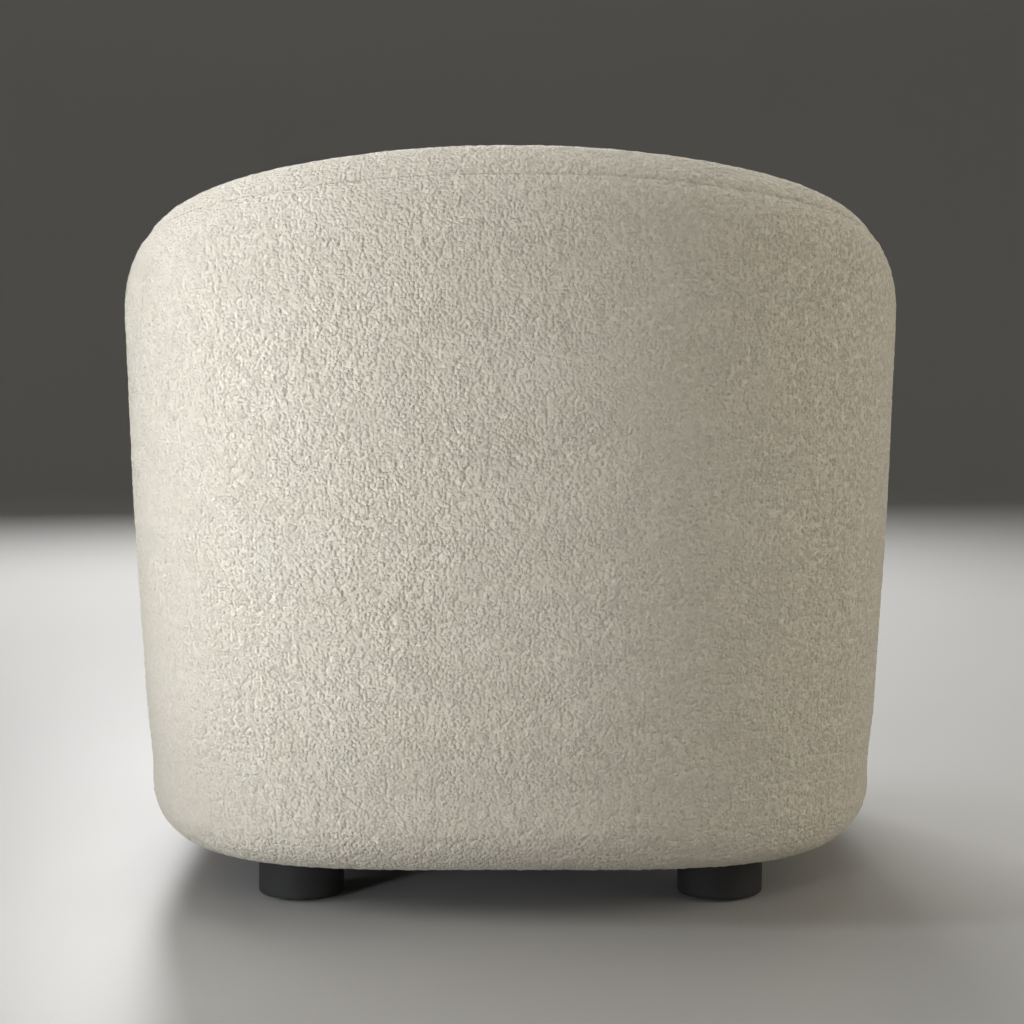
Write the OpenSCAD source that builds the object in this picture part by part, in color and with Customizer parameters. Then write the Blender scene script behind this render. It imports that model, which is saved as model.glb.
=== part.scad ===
// Upholstered tub chair: a padded shell that runs round the back and both arms in one sweep,
// over a plywood frame, with a loose seat cushion and four round feet.
// Millimetres. The floor is z = 0, the chair faces -Y, and the sitter's left is +X.

/* [Overall size] */
// Width over the arms, where their outside faces meet the rounded rim
body_w = 750; // [700:5:840]
// Depth from the outside back to the front of the seat
body_d = 740; // [700:5:820]
// Height of the rim at the middle of the back
back_h = 710; // [640:5:780]
// How much lower the rim is where it levels off, at the arm fronts
rim_drop = 184; // [100:2:200]
// Height of the underside above the floor
ground_gap = 50; // [30:1:80]

/* [Outer shape] */
// Squareness of the plan outside: 2 is an ellipse, larger is squarer
plan_power = 3.3; // [2.6:0.1:4]
// Squareness of the plan inside the tub
inner_power = 3; // [2.6:0.1:3.6]
// How far past half the depth the curve of the arms' outside faces reaches
arm_curve_past = 190; // [150:10:330]
// How far behind the middle of the seat front the arm noses begin
arm_setback = 80; // [72:1:100]
// Outward lean of the outside face, degrees
lean_angle = 2.5; // [0:0.1:4]
// Radius of the rounded bottom edge
edge_r = 55; // [40:1:62]
// How steadily the rim falls: 1 is an even wave, larger stays high for longer
rim_power = 1.1; // [0.9:0.05:1.4]

/* [Padded wall] */
// Thickness of the wall at the arms
wall = 128; // [120:1:140]
// Height of the half-round rim over its straight sides
rim_rise = 88; // [70:1:100]
// Extra recline of the inside back, degrees
recline_angle = 8.5; // [4:0.5:10]
// Thickness of the cover fabric
cover_t = 3; // [2:0.5:4]
// Thickness of the wadding under the outside cover
wadding_t = 12; // [8:1:16]
// Thickness of the bent boards that close the frame
board_t = 5; // [3:0.5:6]
// Thickness of the foam inside the tub
foam_t = 32; // [24:1:38]
// How far below the crest the rim seam runs on the outside
rim_seam_drop = 25; // [18:1:32]
// Width of the cover turned in under the base
flap_w = 45; // [30:1:50]

/* [Frame] */
// Thickness of the base board
base_t = 18; // [12:1:24]
// Thickness of the plywood ribs
rib_t = 18; // [12:1:24]
// Thickness of the top rail
rail_t = 24; // [18:1:30]
// Thickness of the seat ring and the front board
ring_t = 18; // [12:1:22]
// Width of the ledge on each rib that carries the seat ring
ledge_w = 45; // [30:1:60]
// Width of the seat ring at its sides and back
ring_w = 85; // [70:1:95]
// Width of the seat ring at its front
ring_front_w = 80; // [65:1:95]
// Shank diameter of the screws that hold the ribs
screw_d = 4; // [3:0.5:5]
// Length of the screws that hold the ribs
screw_l = 45; // [35:1:60]

/* [Seat] */
// Height of the deck that the cushion lies on
deck_h = 285; // [260:1:320]
// How far the seat front bows forward between the arms
front_bow = 87; // [66:1:92]
// Radius of the padded top edge of the seat front
front_edge_r = 20; // [12:1:26]
// Width of the seat front cover turned in on top
front_lip_w = 30; // [20:1:36]
// Width of a webbing strap
strap_w = 50; // [40:1:56]
// Thickness of a webbing strap
strap_t = 2; // [1:0.5:2]
// Share of the opening in the seat ring that the straps are spread over
strap_spread = 0.85; // [0.8:0.05:1]
// Length of strap that lies on the seat ring at each end
strap_hold = 35; // [25:1:45]
// Thickness of the deck cloth
deck_cloth_t = 1; // [0.8:0.1:1]

/* [Seat cushion] */
// Height of the cushion's lower seam over its underside
cushion_lower = 10; // [6:1:14]
// Height of the cushion's upper seam over its underside
cushion_seam_h = 112; // [95:1:125]
// Height of the crown over the upper seam
cushion_crown = 33; // [20:1:45]
// How far the seams are drawn in from the fullest part of the sides
cushion_draw = 7; // [3:1:10]
// Gap between the cushion and the padding round it
cushion_gap = 3; // [3:0.5:8]
// How far the cushion stays behind the seat front
cushion_setback = 5; // [3:1:12]
// Radius of the cushion's front corners
cushion_corner_r = 45; // [35:1:60]

/* [Feet] */
// Diameter of a foot
foot_d = 82; // [70:1:95]
// How far out the feet stand across the chair, as a share of half its width
foot_x_share = 0.54; // [0.48:0.01:0.56]
// How far out the feet stand along the chair, as a share of half its depth
foot_y_share = 0.505; // [0.45:0.005:0.54]
// Radius of the rounded edges of a foot
foot_edge_r = 3; // [1:0.5:5]
// Thickness of the glide under a foot
glide_t = 3; // [2:0.5:4]
// Diameter of a glide
glide_d = 60; // [40:1:66]
// Diameter of the stud that holds a foot
stud_d = 8; // [6:1:10]
// Length of the stud inside the foot
stud_in_foot = 25; // [18:1:30]
// Diameter of the nut plate on top of the base board
nut_plate_d = 24; // [20:1:30]
// Thickness of the nut plate
nut_plate_t = 1.5; // [1:0.5:2]

/* [Hidden] */
$fa = 3;
$fs = 1;
lean = tan(lean_angle);
recline = tan(recline_angle);
// Polar angle, from the middle of the back, at which the rim has levelled off
rim_level_angle = 150;
// Bays of the sweep round each half of the back, and along each arm
back_bays = 12;
arm_bays = 5;
last = back_bays + arm_bays;
// Clearance between pieces that are fitted to each other, and to curved faces
fit_gap = 0.3;
curve_gap = 1.4;
// Clearance round a shank in its hole
bore_gap = 0.15;
// Overrun of cutting shapes
over = 1;
// Thickness of the cloth that closes the underside
dust_t = 1;
// How much the underside cloth overlaps the turned-in cover
dust_lap = 18;
// Height of the nut barrel inside the base board and its wall
nut_barrel_wall = 1.5;
nut_barrel_l = base_t / 2;
// Head of a frame screw
screw_head_d = 2 * screw_d;
screw_head_h = screw_d / 2;

under_z = ground_gap;
base_z = under_z + cover_t;
base_top = base_z + base_t;
edge_top = under_z + edge_r;
deck_cloth_z = deck_h - deck_cloth_t;
strap_long_z = deck_cloth_z - strap_t;
strap_cross_z = strap_long_z - strap_t;
ring_top = strap_cross_z;
ring_z = ring_top - ring_t;
half_w = body_w / 2;
half_d = body_d / 2;
arm_curve = half_d + arm_curve_past;
arm_len = half_d - arm_setback;
foot_x = half_w * foot_x_share;
foot_y = half_d * foot_y_share;
// Radius of the bowed seat front, and how far behind the middle of the chair its centre lies
front_half_chord = half_w - wall / 2;
front_r = (pow(front_half_chord, 2) + pow(front_bow, 2)) / (2 * front_bow);
front_c = front_r - half_d;
function crest_at(phi) = back_h - rim_drop * (1 - cos(180 * pow(min(phi / rim_level_angle, 1), rim_power))) / 2;
// Height at which the leaning faces stand at their nominal place: the rim's spring at the sides
side_angle = 90;
lean_z = crest_at(side_angle) - rim_rise;
// Reach of the plan curve behind the middle, so that the leaning back ends at half the depth
back_reach = half_d - lean * (crest_at(0) - rim_rise - lean_z);
front_board_r = front_r - edge_r;
rib_front = cover_t + wadding_t + board_t;
inner_stack = cover_t + foam_t + board_t;

// Stations of the sweep. Each holds the outer plan point, the inward direction, the wall's
// thickness there, its share of the recline, and the height of the crest.
function power_radius(phi, a, b, p) = pow(pow(abs(sin(phi)) / a, p) + pow(abs(cos(phi)) / b, p), -1 / p);
function back_station(side, phi) =
    let (
        r_out = power_radius(phi, half_w, back_reach, plan_power),
        r_in = power_radius(phi, half_w - wall, back_reach - wall, inner_power),
        dir = [side * sin(phi), cos(phi)]
    )
    [r_out * dir, -dir, r_out - r_in, 1 - pow(sin(phi), 4), crest_at(phi)];
function arm_station(side, y) =
    let (
        x = half_w * pow(1 - pow(y / arm_curve, plan_power), 1 / plan_power),
        gx = pow(x / half_w, plan_power - 1) / half_w,
        gy = pow(y / arm_curve, plan_power - 1) / arm_curve,
        dir = [side * gx, -gy] / norm([gx, gy])
    )
    [[side * x, -y], -dir, wall, 0, crest_at(side_angle + atan2(y, x))];
function station(i) =
    let (side = i < 0 ? -1 : 1, k = abs(i))
    k <= back_bays ? back_station(side, side_angle * k / back_bays)
                   : arm_station(side, arm_len * (k - back_bays) / arm_bays);
stations = [for (i = [-last:last]) station(i)];
function at(i) = stations[i + last];
function wall_at(i) = at(i)[2];
function crest(i) = at(i)[4];
function spring(i) = crest(i) - rim_rise;

// Distance in from the outer face of the line that the inside face follows
function inner_s(i, z) = wall_at(i) + recline * at(i)[3] * (spring(i) - z);
// A point of the section at station i: s mm in from the outside face, at height z
function leaned(s, z) = s + lean * (lean_z - z);
function place(i, p) =
    let (q = at(i)[0] + at(i)[1] * leaned(p[0], p[1]))
    [q[0], q[1], p[1]];

// Rows of the section, each d mm under the skin. Steps are degrees round an arc.
edge_steps = [-90, -72, -54, -36, -18, 0];
rim_seam_angle = asin(1 - rim_seam_drop / rim_rise);
outer_rim_steps = [15, 30, rim_seam_angle];
inner_rim_steps = [rim_seam_angle, 60, 75, 90, 105, 120, 135, 150, 165, 180];
function edge_row(d) =
    [for (t = edge_steps) [edge_r - (edge_r - d) * cos(t), edge_top + (edge_r - d) * sin(t)]];
function face_row(i, d) = [[d, spring(i) - rail_t], [d, spring(i)]];
function rim_row(i, d, steps) =
    let (half = wall_at(i) / 2)
    [for (t = steps) [half - (half - d) * cos(t), spring(i) + (rim_rise - d) * sin(t)]];
function inner_point(i, d, z) = [inner_s(i, z) - d, z];
function inner_row(i, d) = [for (z = [spring(i) - rail_t, ring_top]) inner_point(i, d, z)];

function reversed(list) = [for (k = [len(list) - 1:-1:0]) list[k]];

// Splits the quad of points a, b, c, d along its shorter diagonal, so that two solids which
// share a face split it alike
function quad(p, a, b, c, d) =
    norm(p[a] - p[c]) <= norm(p[b] - p[d]) ? [[a, b, c], [a, c, d]] : [[a, b, d], [b, c, d]];
function flat(lists) = [for (l = lists) for (e = l) e];

// A closed profile carried through stations. The profile's first half runs along the outer
// side and its second half comes back along the inner side, point for point.
module swept_layer(rings) {
    n = len(rings);
    m = len(rings[0]);
    half = m / 2;
    p = flat(rings);
    sides = flat([for (i = [0:n - 2]) for (j = [0:m - 1])
        quad(p, i * m + j, i * m + (j + 1) % m, (i + 1) * m + (j + 1) % m, (i + 1) * m + j)]);
    first = flat([for (j = [0:half - 2]) quad(p, j, m - 1 - j, m - 2 - j, j + 1)]);
    end = (n - 1) * m;
    final = flat([for (j = [0:half - 2]) quad(p, end + j, end + j + 1, end + m - 2 - j, end + m - 1 - j)]);
    polyhedron(p, concat(sides, first, final));
}

// The same for a convex profile, whose ends fan out from its point number hub
module swept_block(rings, hub) {
    n = len(rings);
    m = len(rings[0]);
    p = flat(rings);
    sides = flat([for (i = [0:n - 2]) for (j = [0:m - 1])
        quad(p, i * m + j, i * m + (j + 1) % m, (i + 1) * m + (j + 1) % m, (i + 1) * m + j)]);
    end = (n - 1) * m;
    first = [for (j = [1:m - 2]) [hub, (hub + j + 1) % m, (hub + j) % m]];
    final = [for (j = [1:m - 2]) [end + hub, end + (hub + j) % m, end + (hub + j + 1) % m]];
    polyhedron(p, concat(sides, first, final));
}

// Closed loops stacked from one middle point to another, as in a cushion
module domed_solid(first_point, loops, last_point) {
    n = len(loops);
    m = len(loops[0]);
    p = concat([first_point], flat(loops), [last_point]);
    tip = n * m + 1;
    start = [for (j = [0:m - 1]) [0, 1 + (j + 1) % m, 1 + j]];
    sides = flat([for (i = [0:n - 2]) for (j = [0:m - 1])
        quad(p, 1 + i * m + j, 1 + i * m + (j + 1) % m, 1 + (i + 1) * m + (j + 1) % m, 1 + (i + 1) * m + j)]);
    top = 1 + (n - 1) * m;
    finish = [for (j = [0:m - 1]) [top + j, top + (j + 1) % m, tip]];
    polyhedron(p, concat(start, sides, finish));
}

// Closed loops stacked into a ring
module ring_solid(loops) {
    n = len(loops);
    m = len(loops[0]);
    p = flat(loops);
    polyhedron(p, flat([for (i = [0:n - 1]) for (j = [0:m - 1])
        quad(p, i * m + j, i * m + (j + 1) % m, ((i + 1) % n) * m + (j + 1) % m, ((i + 1) % n) * m + j)]));
}

// Layers of the padded wall

module outside_layer(d1, d2, flap, rim) {
    // flap: width turned in below; rim: whether the layer runs on to the rim seam
    function line(i, d) = concat(
        flap > 0 ? [[edge_r + flap, under_z + d]] : [],
        edge_row(d),
        face_row(i, d),
        rim ? rim_row(i, d, outer_rim_steps) : []);
    swept_layer([for (i = [-last:last]) [for (q = concat(line(i, d1), reversed(line(i, d2)))) place(i, q)]]);
}

module outside_cover() {
    color("ivory") outside_layer(0, cover_t, flap_w, true);
}

module outside_wadding() {
    color("white") outside_layer(cover_t, cover_t + wadding_t, 0, false);
}

// A board or foam of the wall, with rows shared with its neighbours
module outer_board() {
    d1 = cover_t + wadding_t;
    d2 = d1 + board_t;
    function line(i, d) = concat([[d, edge_top]], face_row(i, d));
    color("burlywood")
        swept_layer([for (i = [-last:last]) [for (q = concat(line(i, d1), reversed(line(i, d2)))) place(i, q)]]);
}

module inner_layer(d1, d2) {
    function line(i, d) = concat([[wall_at(i) - d, spring(i)]], inner_row(i, d));
    swept_layer([for (i = [-last:last]) [for (q = concat(line(i, d2), reversed(line(i, d1)))) place(i, q)]]);
}

module inner_board() {
    color("burlywood") inner_layer(cover_t + foam_t, inner_stack);
}

module inside_foam() {
    color("khaki") inner_layer(cover_t, cover_t + foam_t);
}

module inside_cover() {
    function line(i, d) = concat(rim_row(i, d, inner_rim_steps), inner_row(i, d));
    color("ivory")
        swept_layer([for (i = [-last:last])
            [for (q = concat(line(i, 0), reversed(line(i, cover_t)))) place(i, q)]]);
}

module rim_foam() {
    steps = concat([0], outer_rim_steps, [for (t = inner_rim_steps) if (t > rim_seam_angle) t]);
    // Its flat underside has a point at each joint of the layers below
    function line(i) = concat(
        rim_row(i, cover_t, steps),
        [for (d = [cover_t + foam_t, inner_stack]) [wall_at(i) - d, spring(i)]],
        [for (s = [rib_front, rib_front - board_t]) [s, spring(i)]]);
    color("khaki") swept_block([for (i = [-last:last]) [for (q = line(i)) place(i, q)]], search(90, steps)[0]);
}

module top_rail() {
    function line(i) =
        let (low = spring(i) - rail_t)
        [[rib_front, spring(i)], [wall_at(i) - inner_stack, spring(i)],
         inner_point(i, inner_stack, low), [rib_front, low]];
    color("burlywood") swept_block([for (i = [-last:last]) [for (q = line(i)) place(i, q)]], 0);
}

// Frame

// Points of a plan outline: s mm in from the outside face at height z, for stations up to k
function plan_xy(i, p) = let (q = place(i, p)) [q[0], q[1]];
function plan_side(k, s, z) = [for (i = [-k:k]) plan_xy(i, [s, z])];
function plan_inner(k, d, z) = [for (i = [-k:k]) plan_xy(i, inner_point(i, d, z))];
// Points along the bowed front, r mm from the middle of its curve, from x = -reach to x = reach
front_points = 16;
function front_line(r, reach) =
    [for (k = [-front_points:front_points])
        let (x = reach * k / front_points) [x, front_c - sqrt(r * r - x * x)]];

// Middle of an arm nose at height z, and the directions out and forward from it
function nose_out(side) = -at(side * last)[1];
function nose_fwd(side) =
    let (o = nose_out(side)) side > 0 ? [o[1], -o[0]] : [-o[1], o[0]];
function nose_middle(side, z) = at(side * last)[0] - nose_out(side) * leaned(wall / 2, z);
function nose_point(side, turn, r, z) =
    let (q = nose_middle(side, z) + r * (nose_out(side) * cos(turn) + nose_fwd(side) * sin(turn)))
    [q[0], q[1], z];
// The nose's bottom edge is rounded up to this step, and square beyond it, where the seat front
// meets it
nose_steps = 12;
nose_round_steps = 8;
nose_turn_step = 180 / nose_steps;

// The inner face of the nose, seen from above, at height z
function nose_side_x(z) = abs(nose_middle(1, z)[0]) - wall / 2;

base_small_r = wall / 2 - edge_r - curve_gap;
function base_nose(side) =
    [for (k = [0:nose_steps])
        let (q = nose_point(side, nose_turn_step * k, base_small_r, base_z)) [q[0], q[1]]];
base_front_x = nose_side_x(base_z) - curve_gap;
base_outline = concat(
    plan_side(last - 1, edge_r, base_z),
    base_nose(1),
    [plan_xy(last, [wall + curve_gap, base_z])],
    reversed(front_line(front_board_r, base_front_x)),
    [plan_xy(-last, [wall + curve_gap, base_z])],
    reversed(base_nose(-1)));

rib_stations = [-back_bays - 3, -back_bays, -8, -4, 0, 4, 8, back_bays, back_bays + 3];
screw_s = rib_front + edge_r;

function station_angle(i) = atan2(at(i)[1][1], at(i)[1][0]);
module at_station(i) {
    translate([at(i)[0][0], at(i)[0][1], 0])
        rotate([0, 0, station_angle(i)])
            children();
}
function screw_xy(i, shift) = [leaned(screw_s, base_top), shift];

module base_board() {
    color("burlywood")
        difference() {
            translate([0, 0, base_z])
                linear_extrude(base_t)
                    polygon(base_outline);
            for (x = [-foot_x, foot_x])
                for (y = [-foot_y, foot_y])
                    translate([x, y, base_z - over])
                        cylinder(h = base_t + 2 * over, r = nut_barrel_r + bore_gap);
            for (i = rib_stations)
                at_station(i)
                    screw_hole(0);
            for (side = [-1, 1])
                at_station(side * last)
                    screw_hole(panel_shift(side));
        }
}
nut_barrel_r = stud_d / 2 + nut_barrel_wall;

module screw_hole(shift) {
    translate([screw_xy(0, shift)[0], shift, base_z - over])
        cylinder(h = screw_l + 2 * over, r = screw_d / 2 + bore_gap);
    translate([screw_xy(0, shift)[0], shift, base_z - over])
        cylinder(h = screw_head_h + over + bore_gap, r = screw_head_d / 2 + bore_gap);
}

module screw_body(shift) {
    translate([screw_xy(0, shift)[0], shift, base_z])
        cylinder(h = screw_l, r = screw_d / 2);
    translate([screw_xy(0, shift)[0], shift, base_z])
        cylinder(h = screw_head_h, r = screw_head_d / 2);
}

module base_screws() {
    color("silver") {
        for (i = rib_stations)
            at_station(i)
                screw_body(0);
        for (side = [-1, 1])
            at_station(side * last)
                screw_body(panel_shift(side));
    }
}

// How far a face runs askew to a rib, per millimetre along the face
function before(i) = max(i - 1, -last);
function after(i) = min(i + 1, last);
function skew(i, a, b) = let (t = b - a, e = at(i)[1]) abs(t * e) / abs(cross(t, e));
function outer_skew(i) = skew(i, at(before(i))[0], at(after(i))[0]);
function inner_skew(i, z) =
    skew(i, plan_xy(before(i), inner_point(before(i), 0, z)), plan_xy(after(i), inner_point(after(i), 0, z)));

// Outline of a rib in its own plane: the rounded foot, the outer edge, the top and the ledge.
// The panels at the arm fronts have no ledge.
function rib_inner(i, z) = inner_point(i, inner_stack + fit_gap + rib_t / 2 * inner_skew(i, z), z);
function rib_outline(i, slope) =
    let (
        d = rib_front + curve_gap + rib_t / 2 * outer_skew(i),
        r = edge_r - d,
        top = spring(i) - rail_t - slope * rib_t / 2 - fit_gap,
        start = -asin(min((edge_top - base_top) / r, 1)),
        ledge = inner_s(i, ring_top) + ledge_w - inner_stack
    )
    concat(
        [for (k = [0:4]) let (t = start * (1 - k / 4)) [edge_r - r * cos(t), edge_top + r * sin(t)]],
        [[d, top], rib_inner(i, top)],
        abs(i) < last ? [rib_inner(i, ring_top), rib_inner(i, ring_z), [ledge, ring_z], [ledge, base_top]]
                      : [rib_inner(i, base_top)]);
function rim_slope(i) =
    let (a = at(before(i)), b = at(after(i)))
    abs(b[4] - a[4]) / norm(b[0] - a[0]) * (1 + rib_front / wall);

module rib_at(i, shift) {
    difference() {
        at_station(i)
            translate([0, shift, 0])
                rotate([90, 0, 0])
                    linear_extrude(rib_t, center = true)
                        polygon([for (q = rib_outline(i, 2 * rim_slope(i))) [leaned(q[0], q[1]), q[1]]]);
        at_station(i)
            screw_hole(shift);
    }
}

module rib(k) {
    color("burlywood") rib_at(rib_stations[k - 1], 0);
}

// The panel behind each arm nose stands with its front in the last station's plane
function panel_shift(side) = -side * (rib_t / 2);
module arm_panel(side) {
    color("burlywood") rib_at(side * last, panel_shift(side));
}

module nose_cutter(side, gap) {
    // A cylinder along the leaning middle of the nose
    low = nose_middle(side, 0);
    out = nose_out(side);
    translate([low[0], low[1], 0])
        rotate([0, 0, atan2(out[1], out[0])])
            rotate([0, lean_angle, 0])
                translate([0, 0, -over])
                    cylinder(h = back_h, r = wall / 2 + gap);
}

// The padded arm behind the nose, as an upright block with a gap to its inside face
module arm_cutter(side, gap) {
    span = [back_bays:last];
    translate([0, 0, under_z - over])
        linear_extrude(deck_h - under_z + 2 * over)
            polygon(concat(
                [for (i = span) plan_xy(side * i, [wall + gap, ring_top])],
                reversed([for (i = span) plan_xy(side * i, [wall / 2, ring_top])])));
}

// A front piece turned from its section, kept between the noses and the arms
front_sweep_past = 12;
front_sweep = 2 * asin(nose_side_x(deck_h) / front_board_r) + front_sweep_past;
module front_piece() {
    difference() {
        translate([0, front_c, 0])
            rotate([0, 0, -90 - front_sweep / 2])
                rotate_extrude(angle = front_sweep)
                    children();
        for (side = [-1, 1]) {
            nose_cutter(side, fit_gap);
            arm_cutter(side, curve_gap);
        }
    }
}

module front_board() {
    color("burlywood")
        front_piece()
            translate([front_board_r - ring_t, base_top])
                square([ring_t, ring_z - base_top]);
}

function front_skin(d) = concat(
    [for (t = edge_steps) [front_board_r + (edge_r - d) * cos(t), edge_top + (edge_r - d) * sin(t)]],
    [for (t = [0, 30, 60, 90])
        [front_r - front_edge_r + (front_edge_r - d) * cos(t), deck_h - front_edge_r + (front_edge_r - d) * sin(t)]]);

module front_foam() {
    color("khaki")
        front_piece()
            polygon(concat(front_skin(cover_t), [[front_board_r, deck_h - cover_t]]));
}

module front_cover() {
    inner = front_skin(cover_t);
    outer = front_skin(0);
    low_r = front_board_r - flap_w;
    color("ivory")
        front_piece()
            polygon(concat(
                [[low_r, under_z]], outer, [[lip_r, deck_h]],
                [[lip_r, deck_h - cover_t]], reversed(inner), [[low_r, base_z]]));
}

ring_front_x = nose_side_x(ring_z) - fit_gap;
ring_front = front_line(front_board_r - fit_gap, ring_front_x);
// Where the ring reaches past the plane of the noses it has a corner on that plane
nose_plane_y = plan_xy(last, [wall, ring_z])[1];
ring_corner = nose_plane_y > ring_front[0][1] ? [ring_front_x] : [];
ring_outline = concat(
    plan_inner(last - 1, inner_stack - fit_gap, ring_z),
    [for (x = ring_corner) [x, nose_plane_y]],
    reversed(ring_front),
    [for (x = ring_corner) [-x, nose_plane_y]]);
// Inside of the seat ring
seat_half_w = half_w - leaned(wall, ring_top);
seat_back_y = place(0, inner_point(0, 0, ring_top))[1];
seat_front_y = front_c - front_board_r;
well_x = seat_half_w + inner_stack - ring_w;
well_back = seat_back_y + inner_stack - ring_w;
well_front = seat_front_y + ring_front_w;

module seat_ring() {
    color("burlywood")
        translate([0, 0, ring_z])
            linear_extrude(ring_t)
                difference() {
                    polygon(ring_outline);
                    translate([-well_x, well_front])
                        square([2 * well_x, well_back - well_front]);
                }
}

// Webbing: straps across the well lie on the ring, and straps along it lie on those
strap_long_count = 4;
strap_cross_count = 4;
well_middle = (well_front + well_back) / 2;
strap_long_pitch = strap_spread * 2 * well_x / strap_long_count;
strap_cross_pitch = strap_spread * (well_back - well_front) / strap_cross_count;
// Inside face of the tub at the straps, by its distance across for one along, and the other way
inner_right = [for (i = [0:last]) plan_xy(i, inner_point(i, 0, ring_top))];
function inner_x(y) = lookup(y, [for (q = inner_right) [q[1], q[0]]]);
function inner_y(x) = lookup(x, [for (i = [0:back_bays]) inner_right[i]]);
// The straps along the seat end behind the turned-in lip of the seat front's cover
lip_r = front_board_r - front_lip_w;
strap_reach = (strap_long_count - 1) / 2 * strap_long_pitch + strap_w / 2;
strap_front_y = max(well_front - strap_hold, front_c - sqrt(pow(lip_r, 2) - pow(strap_reach, 2)) + fit_gap);
module strap_long(k) {
    x = (k - (strap_long_count + 1) / 2) * strap_long_pitch;
    back_y = min(well_back + strap_hold, inner_y(abs(x) + strap_w / 2) - fit_gap);
    color("black")
        translate([x - strap_w / 2, strap_front_y, strap_long_z])
            cube([strap_w, back_y - strap_front_y, strap_t]);
}
module strap_cross(k) {
    y = well_middle + (k - (strap_cross_count + 1) / 2) * strap_cross_pitch;
    side_x = min([for (v = [-1, 0, 1]) inner_x(y + v * strap_w / 2)]);
    reach = min(well_x + strap_hold, side_x - curve_gap);
    color("black")
        translate([-reach, y - strap_w / 2, strap_cross_z])
            cube([2 * reach, strap_w, strap_t]);
}

deck_outline = concat(
    plan_inner(last - 1, -curve_gap, ring_top),
    reversed(front_line(lip_r - fit_gap, seat_half_w - strap_hold)));
module deck_cloth() {
    color("dimgray")
        translate([0, 0, deck_cloth_z])
            linear_extrude(deck_cloth_t)
                polygon(deck_outline);
}

dust_outline = concat(
    plan_side(last, edge_r + dust_lap, base_z),
    reversed(front_line(front_board_r - dust_lap, base_front_x)));
module dust_cover() {
    color("dimgray")
        difference() {
            translate([0, 0, under_z - dust_t])
                linear_extrude(dust_t)
                    polygon(dust_outline);
            for (x = [-foot_x, foot_x])
                for (y = [-foot_y, foot_y])
                    translate([x, y, under_z - dust_t - over])
                        cylinder(h = dust_t + 2 * over, r = stud_d / 2 + bore_gap);
        }
}

// Arm noses

// Rows of the nose at a step of its turn, from its bottom edge up
function nose_rows(side, step, d) =
    let (turn = nose_turn_step * step, square_r = wall / 2 - d, small_r = wall / 2 - edge_r)
    concat(
    [for (t = edge_steps)
        let (r = step <= nose_round_steps ? small_r + (edge_r - d) * cos(t) : square_r)
        nose_point(side, turn, r, edge_top + (edge_r - d) * sin(t))],
    [for (z = [spring(last) - rail_t, spring(last)]) nose_point(side, turn, square_r, z)],
    [for (t = [15, 30, rim_seam_angle, 60, 75])
        nose_point(side, turn, square_r * cos(t), spring(last) + (rim_rise - d) * sin(t))]);

// A half-turn solid of rows about the nose's middle line, as a shell with a top point outside
// and one inside
module nose_shell(outer, inner, top_out, top_in) {
    n = len(outer);
    m = len(outer[0]);
    p = concat(flat(outer), flat(inner), [top_out, top_in]);
    q = n * m;
    tip_out = 2 * q;
    tip_in = tip_out + 1;
    skin = flat([for (i = [0:n - 2]) for (j = [0:m - 2])
        quad(p, i * m + j, (i + 1) * m + j, (i + 1) * m + j + 1, i * m + j + 1)]);
    lining = flat([for (i = [0:n - 2]) for (j = [0:m - 2])
        quad(p, q + i * m + j, q + i * m + j + 1, q + (i + 1) * m + j + 1, q + (i + 1) * m + j)]);
    hem = flat([for (i = [0:n - 2]) quad(p, i * m, q + i * m, q + (i + 1) * m, (i + 1) * m)]);
    crown_out = [for (i = [0:n - 2]) [i * m + m - 1, (i + 1) * m + m - 1, tip_out]];
    crown_in = [for (i = [0:n - 2]) [q + i * m + m - 1, tip_in, q + (i + 1) * m + m - 1]];
    e = (n - 1) * m;
    first = flat([for (j = [0:m - 2]) quad(p, j, j + 1, q + j + 1, q + j)]);
    final = flat([for (j = [0:m - 2]) quad(p, e + j, q + e + j, q + e + j + 1, e + j + 1)]);
    first_top = quad(p, m - 1, tip_out, tip_in, q + m - 1);
    final_top = quad(p, e + m - 1, q + e + m - 1, tip_in, tip_out);
    polyhedron(p, concat(skin, lining, hem, crown_out, crown_in, first, final, first_top, final_top));
}

function nose_top(side, d) = nose_point(side, 0, 0, crest(last) - d);
module mirrored(side) {
    // The noses are drawn for the +X arm and mirrored for the other
    mirror([side > 0 ? 0 : 1, 0, 0])
        children();
}

module nose_cover(side) {
    function rows(d) = [for (k = [0:nose_steps]) nose_rows(1, k, d)];
    color("ivory")
        mirrored(side)
            nose_shell(rows(0), rows(cover_t), nose_top(1, 0), nose_top(1, cover_t));
}

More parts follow.
